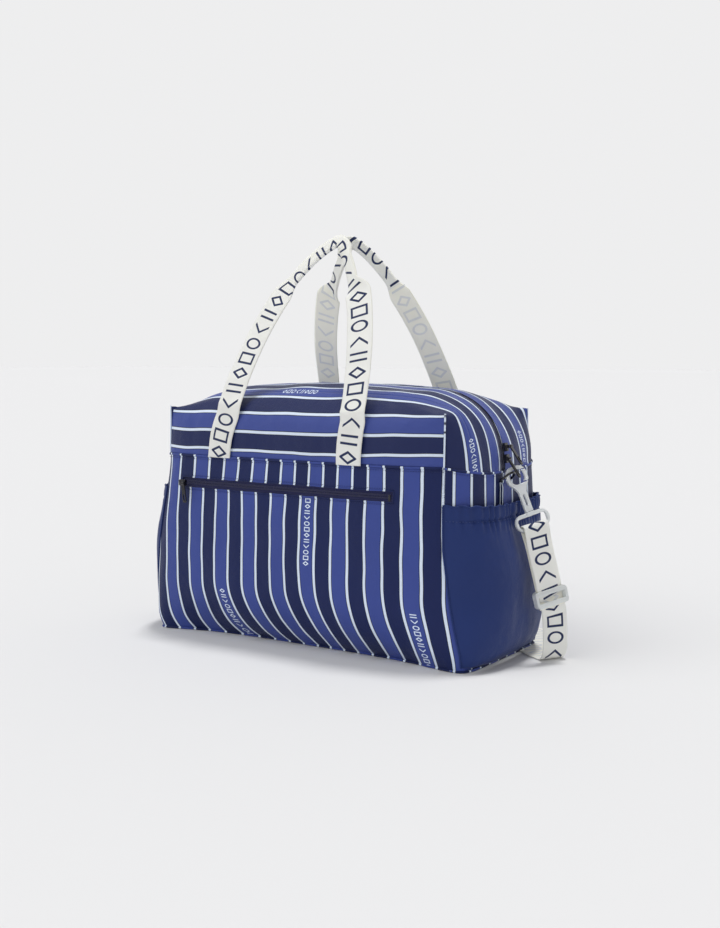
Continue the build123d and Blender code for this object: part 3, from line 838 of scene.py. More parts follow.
def top_point(u, v, side_y):
    """The top cloth and its way down the ends, as depths: v from the zip (0) to the outer edge (1)."""
    zip_x, zip_z = zip_line(np.abs(u))
    edge_x, edge_y, edge_z = edge_line(u, side_y)
    out = np.where(u < 0, end_share(v, -1, side_y), end_share(v, 1, side_y))
    x = edge_x + (zip_x - edge_x) * out
    z = edge_z + (zip_z - edge_z) * (1 - v ** 3)
    return np.stack([x * np.where(u < 0, -1, 1), -edge_y * v, z], axis=-1)


def face_point(u, w, side_y):
    """The upper part of the front or back, as depths, from the top edge (w 0) down to the seam (w 1). u is -1 to 1
    between the corners."""
    edge_x, edge_y, edge_z = edge_line(u * EDGE_SHARE, side_y)
    low = wall(face_run(u, side_y), SEAM_Z)
    swell = 5 * (1 - np.abs(u) ** 4) * np.sin(np.pi * w) ** 0.8
    x = edge_x + (np.abs(low[..., 0]) - edge_x) * w
    y = edge_y + (np.abs(low[..., 1]) - edge_y) * w ** 0.8 + swell
    return np.stack([x * np.where(u < 0, -1, 1), -y, edge_z + (SEAM_Z - edge_z) * w], axis=-1)


def edge_fade(points):
    """0 on the zip's edge and on the seam, 1 a little way from them, so that neighbours still meet."""
    from_zip = np.clip((np.abs(points[..., 1]) - ZIP_EDGE) / 14, 0, 1)
    from_seam = np.clip((points[..., 2] - seam_height(points)) / 8, 0, 1)
    return from_zip * from_seam


def top_wrinkles(points, seed):
    broad = noise_field(points, (80, 60, 80), seed) * 2.6
    folds = noise_field(points, (40, 17, 40), seed + 3) * 1.1
    on_face = np.clip((CORNER_TOP - points[..., 2]) / 10, 0, 1)
    folds = folds + noise_field(points, (15, 15, 90), seed + 11) * 0.9 * on_face
    near_seam = np.clip(1 - (points[..., 2] - SEAM_Z) / 20, 0, 1)
    gathers = noise_field(points, (9, 9, 300), seed + 7) * near_seam ** 2 * 0.8
    return (broad + folds + gathers) * edge_fade(points)


EDGE_LINES = 106 / PITCH        # from the outer edge of the top cloth to the zip, counted in lines
FACE_LINES = 2.72               # and from that edge down to the seam
TOP_ROWS = 35
FACE_ROWS = 23


def upper_cloth(side_y, seed, shift):
    """The cloth above the seam of the front (-1) or back (1): points, stripe map, and which faces are real."""
    outer_u = np.linspace(EDGE_SHARE, 1, 56)[1:]
    u = np.concatenate([-outer_u[::-1], np.linspace(-EDGE_SHARE, EDGE_SHARE, 261), outer_u])
    inner = np.abs(u) <= EDGE_SHARE + 1e-9
    top_u, top_v = np.meshgrid(u, np.linspace(ZIP_EDGE / 106, 1, TOP_ROWS))
    face_u, face_w = np.meshgrid(np.clip(u / EDGE_SHARE, -1, 1), np.linspace(0, 1, FACE_ROWS)[1:])
    top = top_point(top_u, top_v, side_y)
    soft = (np.clip(4 * top_v * (1 - top_v), 0, 1) * smoothstep(0.35, 0.6, np.abs(top_u)) * 0.5)[:, 1:-1, None]
    for _ in range(70):
        top[:, 1:-1] += ((top[:, :-2] + top[:, 2:]) / 2 - top[:, 1:-1]) * soft
    points = np.concatenate([top, face_point(face_u, face_w, side_y)])
    weight = np.where(inner, 0.5 * (1 - np.abs(u / EDGE_SHARE) ** 8) + 0.02, 0)[None, :, None]
    for _ in range(24):
        points[1:-1] += ((points[:-2] + points[2:]) / 2 - points[1:-1]) * np.clip(weight, 0, 0.5)
    points *= (1, -side_y, 1)
    normals = grid_normals(points)
    normals *= np.sign(np.sum(normals * (points - (0, 0, 200)), axis=-1, keepdims=True))
    points = points + normals * top_wrinkles(points, seed)[..., None]
    lines = np.concatenate([-(1 - top_v) * EDGE_LINES, face_w * FACE_LINES]) - shift
    lines = lines + noise_field(points, (48, 60, 60), seed + 23) * 0.075
    left_of_corner = 1 - smoothstep(0.1, 0.95, np.clip(u / EDGE_SHARE, -1, 1))
    lines = lines - 0.19 * left_of_corner[None, :] * np.concatenate([smoothstep(0.6, 1, top_v), 1 + 0 * face_w])
    down = np.clip(CROWN - points[..., 2], 0, None) * ~inner
    along = points[..., 0] + np.sign(points[..., 0]) * down
    keep = np.ones((points.shape[0] - 1, len(u) - 1), bool)
    keep[TOP_ROWS - 1:] = (inner[:-1] & inner[1:])[None, :]
    return points, np.stack([lines, along * MM], axis=-1), keep


def upper_body(side_y, name, seed, shift, material, lining):
    """Cuts the upper cloth along the hinge line of the mouth: inside it a right and a left half, and outside it
    the cloth that stays with the body."""
    points, uv, keep = upper_cloth(side_y, seed, shift)
    middle = points.shape[1] // 2
    hinge = int(np.argmin(np.abs(np.abs(points[:TOP_ROWS, middle, 1]) - HINGE_Y)))
    for side, columns in ((-1, slice(0, middle + 1)), (1, slice(middle, None))):
        half = "right" if side > 0 else "left"
        piece = sheet_grid(f"top_{name}_cloth_{half}", points[:hinge + 1, columns], uv[:hinge + 1, columns],
                           material, flip=side_y < 0, inside=lining)
        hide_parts(f"top_{name}_flap")
        open_mouth(piece)
    fixed = sheet_grid(f"top_{name}_cloth_edge", points[hinge:], uv[hinge:], material, keep=keep[hinge:],
                       flip=side_y < 0, inside=lining)
    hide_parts(f"top_{name}_panel")
    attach(fixed, "root")


def open_mouth(piece):
    """Bakes the piece's placement into its mesh."""
    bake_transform(piece)


# ---------------------------------------------------------------- seams and stitching
def fold(name, line, radius, cloth, lines, **shape):
    """A folded edge of striped cloth along a line. lines gives the stripe map's count at each point."""
    rows = np.stack([lines, np.full(len(line), PLAIN_RUN)], axis=1)
    return tube(name, line, radius, cloth, uv_rows=rows, **shape)


def seam_loop(lift, out, count=700):
    """Points of the seam all round the bag, with the outward directions."""
    s = np.linspace(-HALF_RUN[-1], HALF_RUN[1], count)
    flat = wall(s, SEAM_Z)
    points = flat.copy()
    points[:, 2] = seam_height(flat) + lift
    normals = unit_rows(wall(s, SEAM_Z, 1.0) - flat)
    return points + normals * out, normals, s


def unit_rows(vectors):
    return vectors / np.maximum(np.linalg.norm(vectors, axis=-1, keepdims=True), 1e-9)


def seam_edges(cloth, navy_thread):
    """The folded upper edge of the lower panels, and the row of stitches below it."""
    points, normals, s = seam_loop(0.2, 0.5)
    slot_left, slot_right, slot_low, slot_high = POCKET_SLOT
    front = (s > CORNER[-1, -1]) & (s < CORNER[1, -1])
    over_slot = (s > slot_left) & (s < slot_right)
    shift = np.where(over_slot, above_pocket_shift(s), 0)
    lines = np.where(front, front_stripes(s, SEAM_Z) - shift, s / PITCH)
    bumps = 1 + 0.25 * noise_field(points, 9.0, 3.0)
    roll = fold("seam_fold", points + normals * bumps[:, None] * 0.5, 1.15, cloth, lines, squash=1.3)
    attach(roll, "root")
    lower, lower_normals, _ = seam_loop(-4.2, 0.7)
    rows = [stitches("a", lower, lower_normals, navy_thread)]
    for z in (slot_low - 2.6, slot_high + 2.6):
        run = np.linspace(slot_left + 1, slot_right - 1, 160)
        at = filled_wall(run, np.full_like(run, z), 0.35)
        rows.append(stitches("b", at, unit_rows(wall(run, z, 1.0) - wall(run, z)), navy_thread))
    done = join("seam_stitches", rows)
    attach(done, "root")


def corner_folds(cloth):
    """The folded corner seams beside the upper front and back, which show broken bits of white stripe."""
    made = []
    for side in (1, -1):
        for side_y in (-1, 1):
            u = side * np.linspace(EDGE_SHARE, 1, 90)
            line = top_point(u, np.ones_like(u), side_y) * (1, -side_y, 1)
            lines = 0.03 + 0.075 * noise_field(line, 7.0, 17.0 + side)
            made.append(fold("fold", line + (0.5 * side, 0.5 * side_y, 0), 1.2, cloth, lines, up=(0, 1, 0)))
    done = join("upper_corner_folds", made)
    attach(done, "root")


def base_fold(cloth):
    """The folded seam round the base."""
    s = np.linspace(-HALF_RUN[-1], HALF_RUN[1], 700)
    line = wall(s, 2.0, 0.6)
    line[:, 2] = 1.7 + 0.3 * noise_field(line, 14.0, 6.0)
    front = (s > CORNER[-1, -1]) & (s < CORNER[1, -1])
    lines = np.where(front, front_stripes(s, 1.0), s / PITCH)
    piece = fold("base_fold", line, 1.4, cloth, lines)
    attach(piece, "root")


# ---------------------------------------------------------------- zips
def teeth(name, path, normals, across, material, gap=0.0, step=1.5):
    """Small rounded coil turns along a zip, alternately from its two sides."""
    run = arc_lengths(path)
    vertices = []
    faces = []
    count = int(run[-1] / step)
    for i in range(count):
        at = (i + 0.5) * step
        centre = np.array([np.interp(at, run, path[:, k]) for k in range(3)])
        up = unit([np.interp(at, run, normals[:, k]) for k in range(3)])
        over = unit([np.interp(at, run, across[:, k]) for k in range(3)])
        ahead = np.cross(over, up)
        base = len(vertices)
        for reach, size in ((gap, 0.75), (gap + 0.9, 1.0), (gap + 2.5, 1.0), (gap + 3.1, 0.6)):
            for k in range(6):
                angle = math.pi * k / 3
                ring = ahead * math.cos(angle) + up * math.sin(angle)
                vertices.append(centre + over * reach + ring * 0.62 * size)
        faces += ring_faces(base, 4)
    return make_mesh(name, vertices, faces, materials=[material])


def main_zip(tape_material, coil):
    """Both tapes with their teeth, over the top and down both ends, each cut in the middle of the top."""
    for side_y, name, flap in ((-1, "front", "flap_front"), (1, "rear", "flap_rear")):
        for side in (1, -1):
            half = "right" if side > 0 else "left"
            u = np.linspace(0, 0.995, 150)
            x, z = zip_line(u)
            line = np.stack([x, np.zeros_like(x), z], axis=1)
            ahead = unit_rows(np.gradient(line, axis=0))
            normals = np.stack([-ahead[:, 2], np.zeros_like(x), ahead[:, 0]], axis=1)
            line = (line - normals * 1.6) * (side, 1, 1)
            normals = normals * (side, 1, 1)
            across = np.broadcast_to(np.array((0.0, side_y, 0.0)), line.shape)
            run = arc_lengths(line)
            rows = []
            for depth, drop in ((0.5, 0.0), (3.0, 0.0), (ZIP_EDGE, 0.15), (ZIP_EDGE + 5, 0.6)):
                rows.append(line + across * depth - normals * drop)
            points = np.array(rows)
            uv = np.stack([np.broadcast_to(run, points.shape[:2]),
                           np.broadcast_to(np.abs(points[..., 1]), points.shape[:2])], axis=-1) * MM
            tape = sheet_grid(f"zip_{name}_tape_{half}", points, uv, tape_material, thick=0.6,
                              flip=(side_y < 0) == (side > 0))
            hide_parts(f"main_zip_{name}_middle", f"main_zip_{name}_ends")
            open_mouth(tape)
            row = teeth(f"zip_{name}_teeth_{half}", line + normals * 0.5, normals, across, coil, gap=0.15)
            open_mouth(row)


def pocket_zip(tape_material, coil):
    slot_left, slot_right, slot_low, slot_high = POCKET_SLOT
    middle = (slot_low + slot_high) / 2
    s = np.linspace(slot_left - 3, slot_right + 3, 180)
    normals = unit_rows(wall(s, middle, 1.0) - wall(s, middle))
    for name, low, high in (("upper", middle + 0.3, slot_high + 3), ("lower", slot_low - 3, middle - 0.3)):
        z = np.linspace(low, high, 7)
        grid_s, grid_z = np.meshgrid(s, z)
        points = filled_wall(grid_s, grid_z, -1.9)
        uv = np.stack([grid_s, grid_z], axis=-1) * MM
        tape = sheet_grid(f"pocket_zip_{name}_half", points, uv, tape_material, thick=0.6)
        side = 1 if name == "upper" else -1
        line = filled_wall(s, np.full_like(s, middle), -1.4)
        across = np.broadcast_to(np.array((0.0, 0.0, side)), line.shape)
        row = teeth("row", line[3:-3], normals[3:-3], across[3:-3], coil, gap=0.1)
        row.name = f"pocket_zip_{name}_teeth"
        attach(row, "root")
        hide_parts(f"pocket_zip_{name}_tape")
        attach(tape, "root")


def pocket_slot_edges(cloth):
    """The folded edges of the cloth above and below the pocket zip, and at both its ends."""
    slot_left, slot_right, slot_low, slot_high = POCKET_SLOT
    made = []
    for z, above in ((slot_low, False), (slot_high, True)):
        s = np.linspace(slot_left, slot_right, 320)
        lines = front_stripes(s, z) - (above_pocket_shift(s) if above else 0)
        line = filled_wall(s, np.full_like(s, z), -0.1)
        line = line + noise_field(line, 12.0, z)[:, None] * (0, 0, 0.35)
        made.append(fold("fold", line, 0.95, cloth, lines))
    for s_end in (slot_left, slot_right):
        z = np.linspace(slot_low, slot_high, 12)
        line = filled_wall(np.full_like(z, s_end), z, -0.1)
        lines = front_stripes(np.full_like(z, s_end), z)
        made.append(fold("fold", line, 0.95, cloth, lines, up=(0, 1, 0)))
    done = join("pocket_slot_folds", made)
    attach(done, "root")


# ---------------------------------------------------------------- end pockets
def pocket_surface(side, across, z, out=0.0):
    """An end pocket's cloth: it bellies out from the end between its two side seams."""
    inset = 17 * np.clip((150 - z) / 150, 0, 1) - 1
    s = end_run(side) + side * across * (end_reach(side, across) - inset)
    base = wall(s, z, 0.6)
    high = 27.5 * (1 - (1 - np.clip((z - 2) / 98, 0, 1)) ** 6) - 13.5 * smoothstep(105, 200, z)
    belly = high * np.clip(1 - np.abs(across) ** 2.4, 0, 1) ** 0.75
    soft = noise_field(base, (45, 45, 55), 90.0 + side) * 2.2
    soft = soft + noise_field(base, (18, 18, 32), 95.0 + side) * 0.8
    flat = np.clip(1 - np.abs(across) ** 6, 0, 1)
    near_hem = np.clip((z - (POCKET_HEM - 34)) / 34, 0, 1)
    frill = np.sin(s * 2 * math.pi / 10.5 + 6.5 * noise_field(base, (26, 26, 400), 71.0))
    frill = frill * (1.8 + 1.3 * noise_field(base, (17, 17, 400), 77.0))
    pinch = -2.0 * np.exp(-((z - HEM_STITCH) / 2.2) ** 2)
    channel = 1.3 * np.exp(-((z - (POCKET_HEM - 9)) / 7.5) ** 2)
    below = np.exp(-(np.clip(HEM_STITCH - z, 0, None) / 9)) * (z < HEM_STITCH)
    gathered = frill * (near_hem ** 0.7 * 0.9 + below * 0.7)
    lift = (soft * (1 - 0.6 * near_hem) + gathered + pinch + channel) * flat
    normal = unit_rows(wall(s, z, 1.0) - wall(s, z))
    points = base + normal * (lift + out + wall_wrinkles(wall(s, z)))[..., None]
    points[..., 0] += side * belly
    return points


def hem_drop(side, across):
    """How far an end pocket's mouth hangs below its two corners, with a small ripple."""
    return HEM_SAG * (1 - across ** 2) + 0.9 * np.sin(across * 41 + side)


def end_pocket(side, name, cloth, lining, pale_thread):
    """The plain pocket of an end, with its rim, side seams and the stitches below its elastic."""
    z = np.concatenate([np.linspace(POCKET_FOOT, 60, 24), np.linspace(62, 160, 34),
                        np.linspace(161, POCKET_HEM, 46)])
    across = np.linspace(-1, 1, 260)
    grid_a, grid_z = np.meshgrid(across, z)
    risen = grid_z - np.clip((grid_z - 150) / 55, 0, 1) * hem_drop(side, grid_a)
    points = pocket_surface(side, grid_a, risen)
    uv = np.stack([grid_a * 110, grid_z], axis=-1) * MM
    piece = sheet_grid(f"{name}_pocket_cloth", points, uv, cloth, thick=0.8, flip=side < 0, inside=lining)
    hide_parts(f"{name}_end_pocket", f"{name}_pocket_elastic")
    hem_a = np.linspace(-0.985, 0.985, 300)
    hem_z = HEM_STITCH - 0.6 * HEM_SAG * (1 - hem_a ** 2)
    row = pocket_surface(side, hem_a, hem_z, 0.3)
    normals = unit_rows(row * (1, 0.3, 0) - (side * 120, 0, 0))
    thread_row = stitches(f"{name}_pocket_stitches", row, normals, pale_thread, step=4.2, long=2.3)
    top_z = POCKET_HEM - hem_drop(side, hem_a)
    rim = tube(f"{name}_pocket_rim", pocket_surface(side, hem_a, top_z), 1.1, cloth,
               uv_rows=np.stack([hem_a * 110, top_z], axis=1) * MM)
    sides = []
    for edge in (-1, 1):
        z_run = np.linspace(POCKET_FOOT, POCKET_HEM - 1, 90)
        line = pocket_surface(side, np.full_like(z_run, edge * 0.998), z_run, 0.2)
        rows = np.stack([z_run, z_run], axis=1) * MM
        sides.append(tube("side", line, 1.2, cloth, uv_rows=rows, up=(0, 1, 0)))
    edges = join(f"{name}_pocket_side_seams", sides)
    for obj in (piece, thread_row, rim, edges):
        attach(obj, "root")


def strap_tab(side, name, cloth):
    """The short cloth tab that holds a D-ring: up from the pocket's mouth, round the ring's bar and back."""
    low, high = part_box(f"{name}_strap_tab")
    y = (low.y + high.y) / 2 / MM
    bar_x, bar_z = (HALF_X + 2.6) * side, 230
    radius = 2.3
    turn = [(bar_x + side * radius * math.cos(a), y, bar_z + radius * math.sin(a))
            for a in np.linspace(-math.pi / 2, math.pi, 12)]
    back = [(bar_x - side * (radius - 0.4), y, z) for z in (222, 214, 200)]
    front = [(bar_x + side * (radius - 0.8), y, z) for z in (200, 208, 216, 223)]
    path = smooth_path(front + turn + back, 90)
    across = np.broadcast_to(np.array((0.0, 1.0, 0.0)), path.shape)
    tab = ribbon(f"{name}_tab_cloth", path, across, 18.5, 1.0, [cloth, cloth])
    layer = tab.data.uv_layers["cloth"].data
    for loop in layer:
        loop.uv = (loop.uv[1] / (PITCH * MM) + 0.42, loop.uv[0])
    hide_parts(f"{name}_strap_tab")
    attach(tab, "root")


# ---------------------------------------------------------------- lining and inner pocket bag
def inner_lining(material):
    z = np.concatenate([np.linspace(5, 60, 14), np.linspace(65, 300, 24)])
    s = np.linspace(-HALF_RUN[-1], HALF_RUN[1], 200)[:-1]
    grid_s, grid_z = np.meshgrid(s, z)
    points = wall(grid_s, np.minimum(grid_z, SEAM_Z), -6.0)
    points[..., 2] = grid_z
    lean = np.clip((grid_z - SEAM_Z) / 50, 0, 1) ** 2
    points[..., 0] *= 1 - 0.10 * lean
    points[..., 1] *= 1 - 0.06 * lean
    points[..., :2] *= (1 + 0.012 * noise_field(points, 60.0, 8.0))[..., None]
    floor = [points[0] * (share, share, 1) for share in (0.0, 0.5, 0.8, 0.95)]
    points = np.concatenate([np.array(floor), points])
    uv = points[..., [0, 2]] * MM
    obj = sheet_grid("lining_cloth", points, uv, material, closed=True, thick=0.6)
    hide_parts("lining")
    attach(obj, "root")


def pocket_bag(material):
    """The flat bag behind the pocket zip, hanging inside the front panel."""
    slot_left, slot_right, _, slot_high = POCKET_SLOT
    s = np.linspace(slot_left - 4, slot_right + 6, 120)
    z = np.linspace(64, slot_high, 40)
    grid_s, grid_z = np.meshgrid(s, z)
    layers = []
    for depth in (2.2, 4.6):
        points = filled_wall(grid_s, grid_z, -depth)
        uv = np.stack([grid_s, grid_z], axis=-1) * MM
        layers.append(sheet_grid("layer", points, uv, material, thick=0.4))
    bag = join("pocket_bag_cloth", layers)
    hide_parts("front_pocket_bag")
    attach(bag, "root")


# ---------------------------------------------------------------- handles
HANDLE_WIDE = 38
GRIP_WIDE = 19
HANDLE_LEAN = 0.46              # how far a handle leans inward for each mm of height
LEAN_FROM_Z = 318
LEAN_FROM_DEPTH = {-1: 112, 1: 118}     # depth of the front and the rear handle where they start to lean
HANDLE_APEX = {-1: -5, 1: -2}   # x of each handle's highest point
HANDLE_TOP = 541
SHOULDER_POWER = 1.4            # how pointed both handles are at the top
# for each leg, by y and x side: reach from the apex, squareness of its bend, and how far its foot splays
HANDLE_LEG = {(-1, -1): (112, 2.8, 14), (-1, 1): (94, 2.1, -8), (1, -1): (108, 2.2, 9), (1, 1): (102, 2.2, -6)}
# degrees that a leg's folded part turns away from the handle's plane
FOLD_TWIST = {(-1, 1): 28, (1, -1): -35}


def handle_leg(side_y, side_x, count=44):
    """One leg's middle line from its foot in the seam up to the apex, as x and z: a quarter superellipse."""
    reach, squareness, splay = HANDLE_LEG[side_y, side_x]
    turn = np.linspace(0, math.pi / 2, count)
    z = SEAM_Z - 3 + (HANDLE_TOP - SEAM_Z + 3) * np.sin(turn) ** (2 / squareness)
    out = reach * np.cos(turn) ** (2 / SHOULDER_POWER)
    on_face = np.clip((CORNER_TOP - z) / (CORNER_TOP - SEAM_Z), 0, 1)
    return np.stack([HANDLE_APEX[side_y] + side_x * (out + splay * on_face), z], axis=1)


def handle(side_y, name, front_face, back_face):
    """One handle: webbing sewn into the seam at both ends, folded to half its width and stitched over the top."""
    points = []
    for x, z in np.vstack([handle_leg(side_y, -1), handle_leg(side_y, 1)[-2::-1]]):
        depth = LEAN_FROM_DEPTH[side_y] - HANDLE_LEAN * (z - LEAN_FROM_Z)
        if z <= 312:
            share = np.array(x / abs(CORNER_AT[1 if x > 0 else -1, side_y][0]))
            down = np.clip((CORNER_TOP + 1 - z) / (CORNER_TOP + 1 - SEAM_Z), 0, 1)
            depth = -face_point(share, np.array(down), side_y)[1] + 2.4
        points.append((x, -max(depth, 4), z))
    path = smooth_path(points, 360)
    path[:, 1] *= -side_y
    tangent = unit_rows(np.gradient(path, axis=0))
    rise = smoothstep(315, 400, path[:, 2])
    outward = unit_rows(np.stack([0 * rise, side_y * (1 - 0.13 * rise), 0.497 * rise], axis=1))
    across = np.cross(outward, tangent)
    folded = smoothstep(468, 490, path[:, 2])
    near_top = 1 - smoothstep(518, 536, path[:, 2])
    for side_x in (-1, 1):
        leg = folded * near_top * ((path[:, 0] - HANDLE_APEX[side_y]) * side_x > 0)
        twist = np.radians(FOLD_TWIST.get((side_y, side_x), 0) * leg)[:, None]
        path = path - across * (5 * np.sign(twist)) * np.abs(leg)[:, None]
        outward, across = (outward * np.cos(twist) - across * np.sin(twist),
                           across * np.cos(twist) + outward * np.sin(twist))
    widths = HANDLE_WIDE + (GRIP_WIDE - HANDLE_WIDE) * folded
    thick = 1.7 + 2.2 * folded
    path = path + noise_field(path, 55.0, 21.0 + side_y)[:, None] * outward * (1.2 * rise)[:, None]
    obj = ribbon(f"{name}_handle_webbing", path, across, widths, thick, [front_face, back_face],
                 shift=(HANDLE_WIDE - widths) / 2, crown=0.5)
    slots = np.zeros(len(obj.data.polygons), int)
    obj.data.polygons.foreach_get("material_index", slots)
    slots[:16 * (len(path) - 1)][np.repeat(folded[1:] > 0.6, 16)] = 0
    obj.data.polygons.foreach_set("material_index", slots)
    for vertex in obj.data.vertices:
        vertex.co.z = max(vertex.co.z, (SEAM_Z - 0.4) * MM)
    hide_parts(f"{name}_handle")
    body = f"handle_{name}"
    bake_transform(obj)
    grip = (folded > 0.97)
    edge = path + across * (GRIP_WIDE / 2 - 2.2) * -1 + outward * 2.2
    row = stitches(f"{name}_grip_stitches", edge[grip], outward[grip], thread("cream_thread", CREAM), step=3.2)
    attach(row, body)
    return obj


# ---------------------------------------------------------------- shoulder strap
HOOK_CENTRE = np.array((258.0, 2.0, 235.0))
SHANK_AXIS = unit((0.36, 0.06, -0.93))
RING_BAR = HOOK_CENTRE + SHANK_AXIS * 66.5
STRAP_FALL = unit((0.209, 0.098, -0.973))
STRAP_WIDE = 38
STRAP_THICK = 1.5


def square_to(direction, axis):
    direction = np.asarray(direction, float)
    return unit(direction - axis * np.dot(direction, axis))


def strap_route():
    """The right half of the strap's middle line and its printed side: out of the adjuster, round the ring's bar,
    down through the adjuster to the ground, under the bag's end, and along behind the bag."""
    side = square_to(square_to((0.50, 0.83, 0.24), SHANK_AXIS), STRAP_FALL)
    out = np.cross(STRAP_FALL, side)
    places = [(104, -1.9), (80, -1.9), (55, -1.9), (30, -1.9), (18, -2.5), (9, -3.9)]
    places += [(-4.95 * math.cos(a), 4.95 * math.sin(a)) for a in np.radians((-70, -35, 0, 35, 70))]
    places += [(9, 3.9), (18, 2.5), (30, 1.9), (55, 1.9), (80, 1.7)]
    points = [RING_BAR + STRAP_FALL * d + out * h for d, h in places]
    faces = [out * -1.0] * 6
    faces += [unit(-STRAP_FALL * math.cos(a) + out * math.sin(a)) for a in np.radians((-70, -35, 0, 35, 70))]
    faces += [out] * 5
    level = unit((side[0], side[1], 0))
    outward = np.cross(level, (0, 0, 1.0))
    foot = np.array((302.0, 28.0, 0.9))
    down = np.array((0, 0, -1.0))
    for height, back, share in ((62, 0.0, 0.0), (32, 0.0, 0.05), (16, 0.0, 0.15), (5.0, 3.5, 0.5),
                                (0.6, 10, 0.9), (0.2, 24, 1.0), (0.1, 40, 1.0)):
        lean = max(height - 30, 0) / 0.973
        points.append(foot - outward * back + np.array((0, 0, height)) - STRAP_FALL * lean * (0.235, 0.235, 0))
        faces.append(unit(outward * (1 - share) + down * share))
    for x, y in ((252, 66), (243, 90), (237, 119), (227, 146), (206, 163), (176, 168), (100, 167), (40, 166),
                 (0, 166)):
        points.append(np.array((x, y, 1.0)))
        faces.append(down)
    both = smooth_path(np.hstack([np.array(points), np.array(faces)]), 520)
    return both[:, :3], unit_rows(both[:, 3:])


def shoulder_strap(front_face, back_face):
    path, face = strap_route()
    mirror = np.array((-1, 1, 1))
    path = np.vstack([path, (path * mirror)[::-1][1:]])
    face = np.vstack([face, (face * mirror)[::-1][1:]])
    path[:, 2] = np.maximum(path[:, 2], 0.9)
    tangent = unit_rows(np.gradient(path, axis=0))
    obj = ribbon("shoulder_strap_webbing", path, np.cross(face, tangent), STRAP_WIDE - 1, STRAP_THICK,
                 [front_face, back_face])
    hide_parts("shoulder_strap")
    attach(obj, "root")
    length = float(arc_lengths(path)[-1]) * MM
    return length


# ---------------------------------------------------------------- metal and plastic
def hardware():
    metal = black_metal()
    plastic = clear_plastic()
    bodies = {node: body for body, nodes in frame["record"]["behaviour"]["bodies"].items() for node in nodes}
    for node in ("main_slider_lower", "main_slider_upper", "main_pull_lower", "main_pull_upper",
                 "pocket_slider", "pocket_pull", "pocket_zip_stop", "right_d_ring", "left_d_ring"):
        piece = moulded(f"{node}_metal", node, metal, 0.3)
        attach(piece, bodies[node])
    for node in ("right_hook", "left_hook", "right_hook_gate", "left_hook_gate", "right_swivel_ring",
                 "left_swivel_ring", "strap_adjuster"):
        piece = moulded(f"{node}_moulding", node, plastic, 0.5, rounds=4)
        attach(piece, bodies[node])
    board = frame["nodes"]["base_board"]
    board.data.materials.clear()
    board.data.materials.append(board_plastic())


# ---------------------------------------------------------------- room, light and camera
def room():
    mesh = bpy.data.meshes.new("floor")
    half = 30.0
    corners = [(-half, -half, 0), (half, -half, 0), (half, half, 0), (-half, half, 0)]
    mesh.from_pydata(corners, [], [(0, 1, 2, 3)])
    floor = bpy.data.objects.new("floor", mesh)
    bpy.context.scene.collection.objects.link(floor)
    shader = Shader("studio_floor", roughness=0.9, specular=0.1)
    shader.finish((0.744, 0.744, 0.748, 1.0))
    mesh.materials.append(shader.material)
    world = bpy.data.worlds.new("studio")
    bpy.context.scene.world = world
    world.use_nodes = True
    background = world.node_tree.nodes["Background"]
    nodes, links = world.node_tree.nodes, world.node_tree.links
    direction = nodes.new("ShaderNodeTexCoord")
    parts = nodes.new("ShaderNodeSeparateXYZ")
    links.new(direction.outputs["Generated"], parts.inputs["Vector"])
    high = nodes.new("ShaderNodeMapRange")
    high.interpolation_type = "SMOOTHSTEP"
    high.inputs["From Min"].default_value = 0.35
    high.inputs["From Max"].default_value = 0.7
    links.new(parts.outputs["Z"], high.inputs["Value"])
    sky = nodes.new("ShaderNodeMix")
    sky.data_type = "RGBA"
    sky.inputs["A"].default_value = (0.855, 0.855, 0.86, 1.0)
    sky.inputs["B"].default_value = (0.28, 0.28, 0.285, 1.0)
    links.new(high.outputs["Result"], sky.inputs["Factor"])
    links.new(sky.outputs["Result"], background.inputs["Color"])
    background.inputs["Strength"].default_value = 1.0


def sun(name, direction, strength, angle, tint=(1, 1, 1)):
    """A broad even light: its shadows are as soft as its angle, in degrees, is wide."""
    data = bpy.data.lights.new(name, "SUN")
    data.energy = strength
    data.angle = math.radians(angle)
    data.color = tint
    light = bpy.data.objects.new(name, data)
    light.rotation_euler = Vector(direction).to_track_quat("-Z", "Y").to_euler()
    bpy.context.scene.collection.objects.link(light)


def camera():
    data = bpy.data.cameras.new("camera")
    data.lens = 47.1
    data.clip_end = 200
    eye = bpy.data.objects.new("camera", data)
    eye.location = (0.938, -1.373, 0.388)
    eye.rotation_euler = Vector((-0.5526, 0.8285, -0.0894)).to_track_quat("-Z", "Y").to_euler()
    bpy.context.scene.collection.objects.link(eye)
    bpy.context.scene.camera = eye


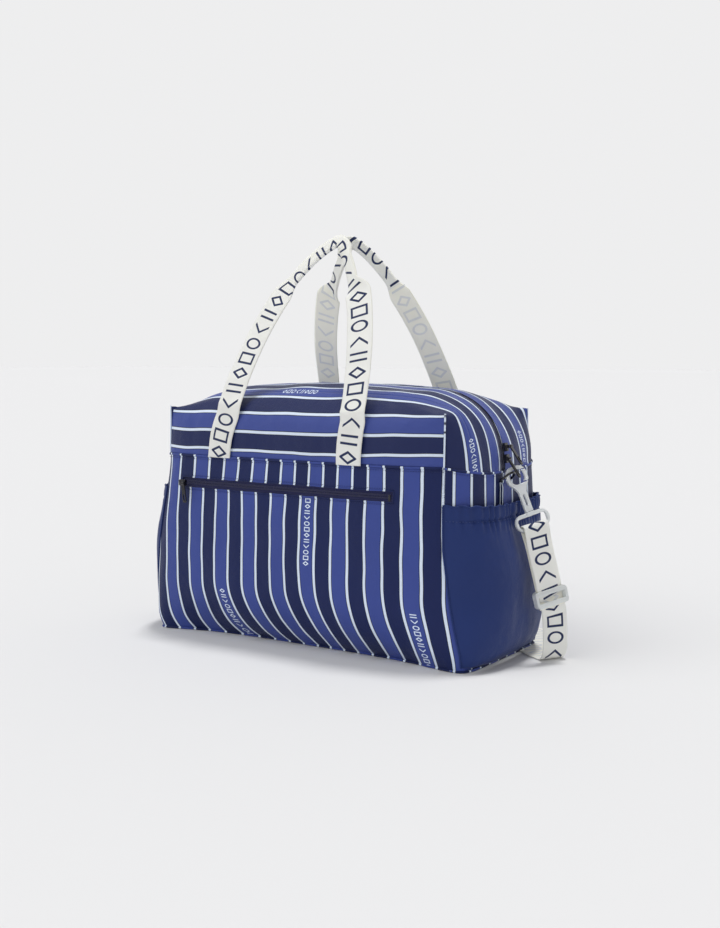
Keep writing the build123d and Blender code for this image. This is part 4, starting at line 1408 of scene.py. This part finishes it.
def lights():
    sun("key", (0.42, 0.55, -0.9), 0.85, 50)
    sun("top", (-0.02, -0.17, -1.0), 1.6, 11)
    bpy.context.scene.view_settings.view_transform = "Standard"


# ---------------------------------------------------------------- the bag
def build():
    lining = plain_cloth("lining_taffeta", colour(30, 38, 84), roughness=0.6)
    pocket_cloth = plain_cloth("pocket_taffeta", PLAIN, roughness=0.5)
    navy_thread = thread("navy_thread", colour(40, 50, 104))
    pale_thread = thread("pale_thread", colour(86, 100, 150))
    front_cloth = striped_cloth("front_stripes", marks=((2, 0.116, 0.089), (-4, -0.009, 0.082),
                                                        (8, -0.002, 0.074)))
    top_cloth = striped_cloth("top_stripes", marks=((-2, -0.055, 0.06), (-2, 0.29, 0.05)), specular=0.3)
    side_cloth = striped_cloth("side_stripes", marks=((2, 0.11, 0.07),))
    tape_material = zip_cloth()
    coil = coil_plastic()
    for panel in (front_panel(front_cloth), back_panel(side_cloth), base_panel(side_cloth),
                  end_panel(1, "right", side_cloth), end_panel(-1, "left", side_cloth)):
        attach(panel, "root")
    upper_body(-1, "front", 60.0, 0.08, top_cloth, lining)
    upper_body(1, "rear", 80.0, -0.25, top_cloth, lining)
    seam_edges(front_cloth, navy_thread)
    corner_folds(top_cloth)
    base_fold(front_cloth)
    main_zip(tape_material, coil)
    pocket_zip(tape_material, coil)
    pocket_slot_edges(front_cloth)
    for side, name in ((1, "right"), (-1, "left")):
        end_pocket(side, name, pocket_cloth, lining, pale_thread)
        strap_tab(side, name, side_cloth)
    inner_lining(lining)
    pocket_bag(lining)
    handle_front = webbing("handle_webbing", CREAM, MOTIF, 0.038, 0.026)
    # the back faces take the lighter cream with painted light, over their ghost print
    handle_back = webbing("handle_webbing_back", CREAM_BACK_PAINTED_LIGHT, GHOST, 0.038, 0.026, 0.8)
    strap_front = webbing("strap_webbing", CREAM, MOTIF, 0.038, 0.025)
    strap_back = webbing("strap_webbing_back", CREAM_BACK_PAINTED_LIGHT, GHOST, 0.038, 0.025, 0.8)
    handle(-1, "front", handle_front, handle_back)
    handle(1, "rear", handle_front, handle_back)
    shoulder_strap(strap_front, strap_back)
    hardware()


camera()
lights()
room()
build()
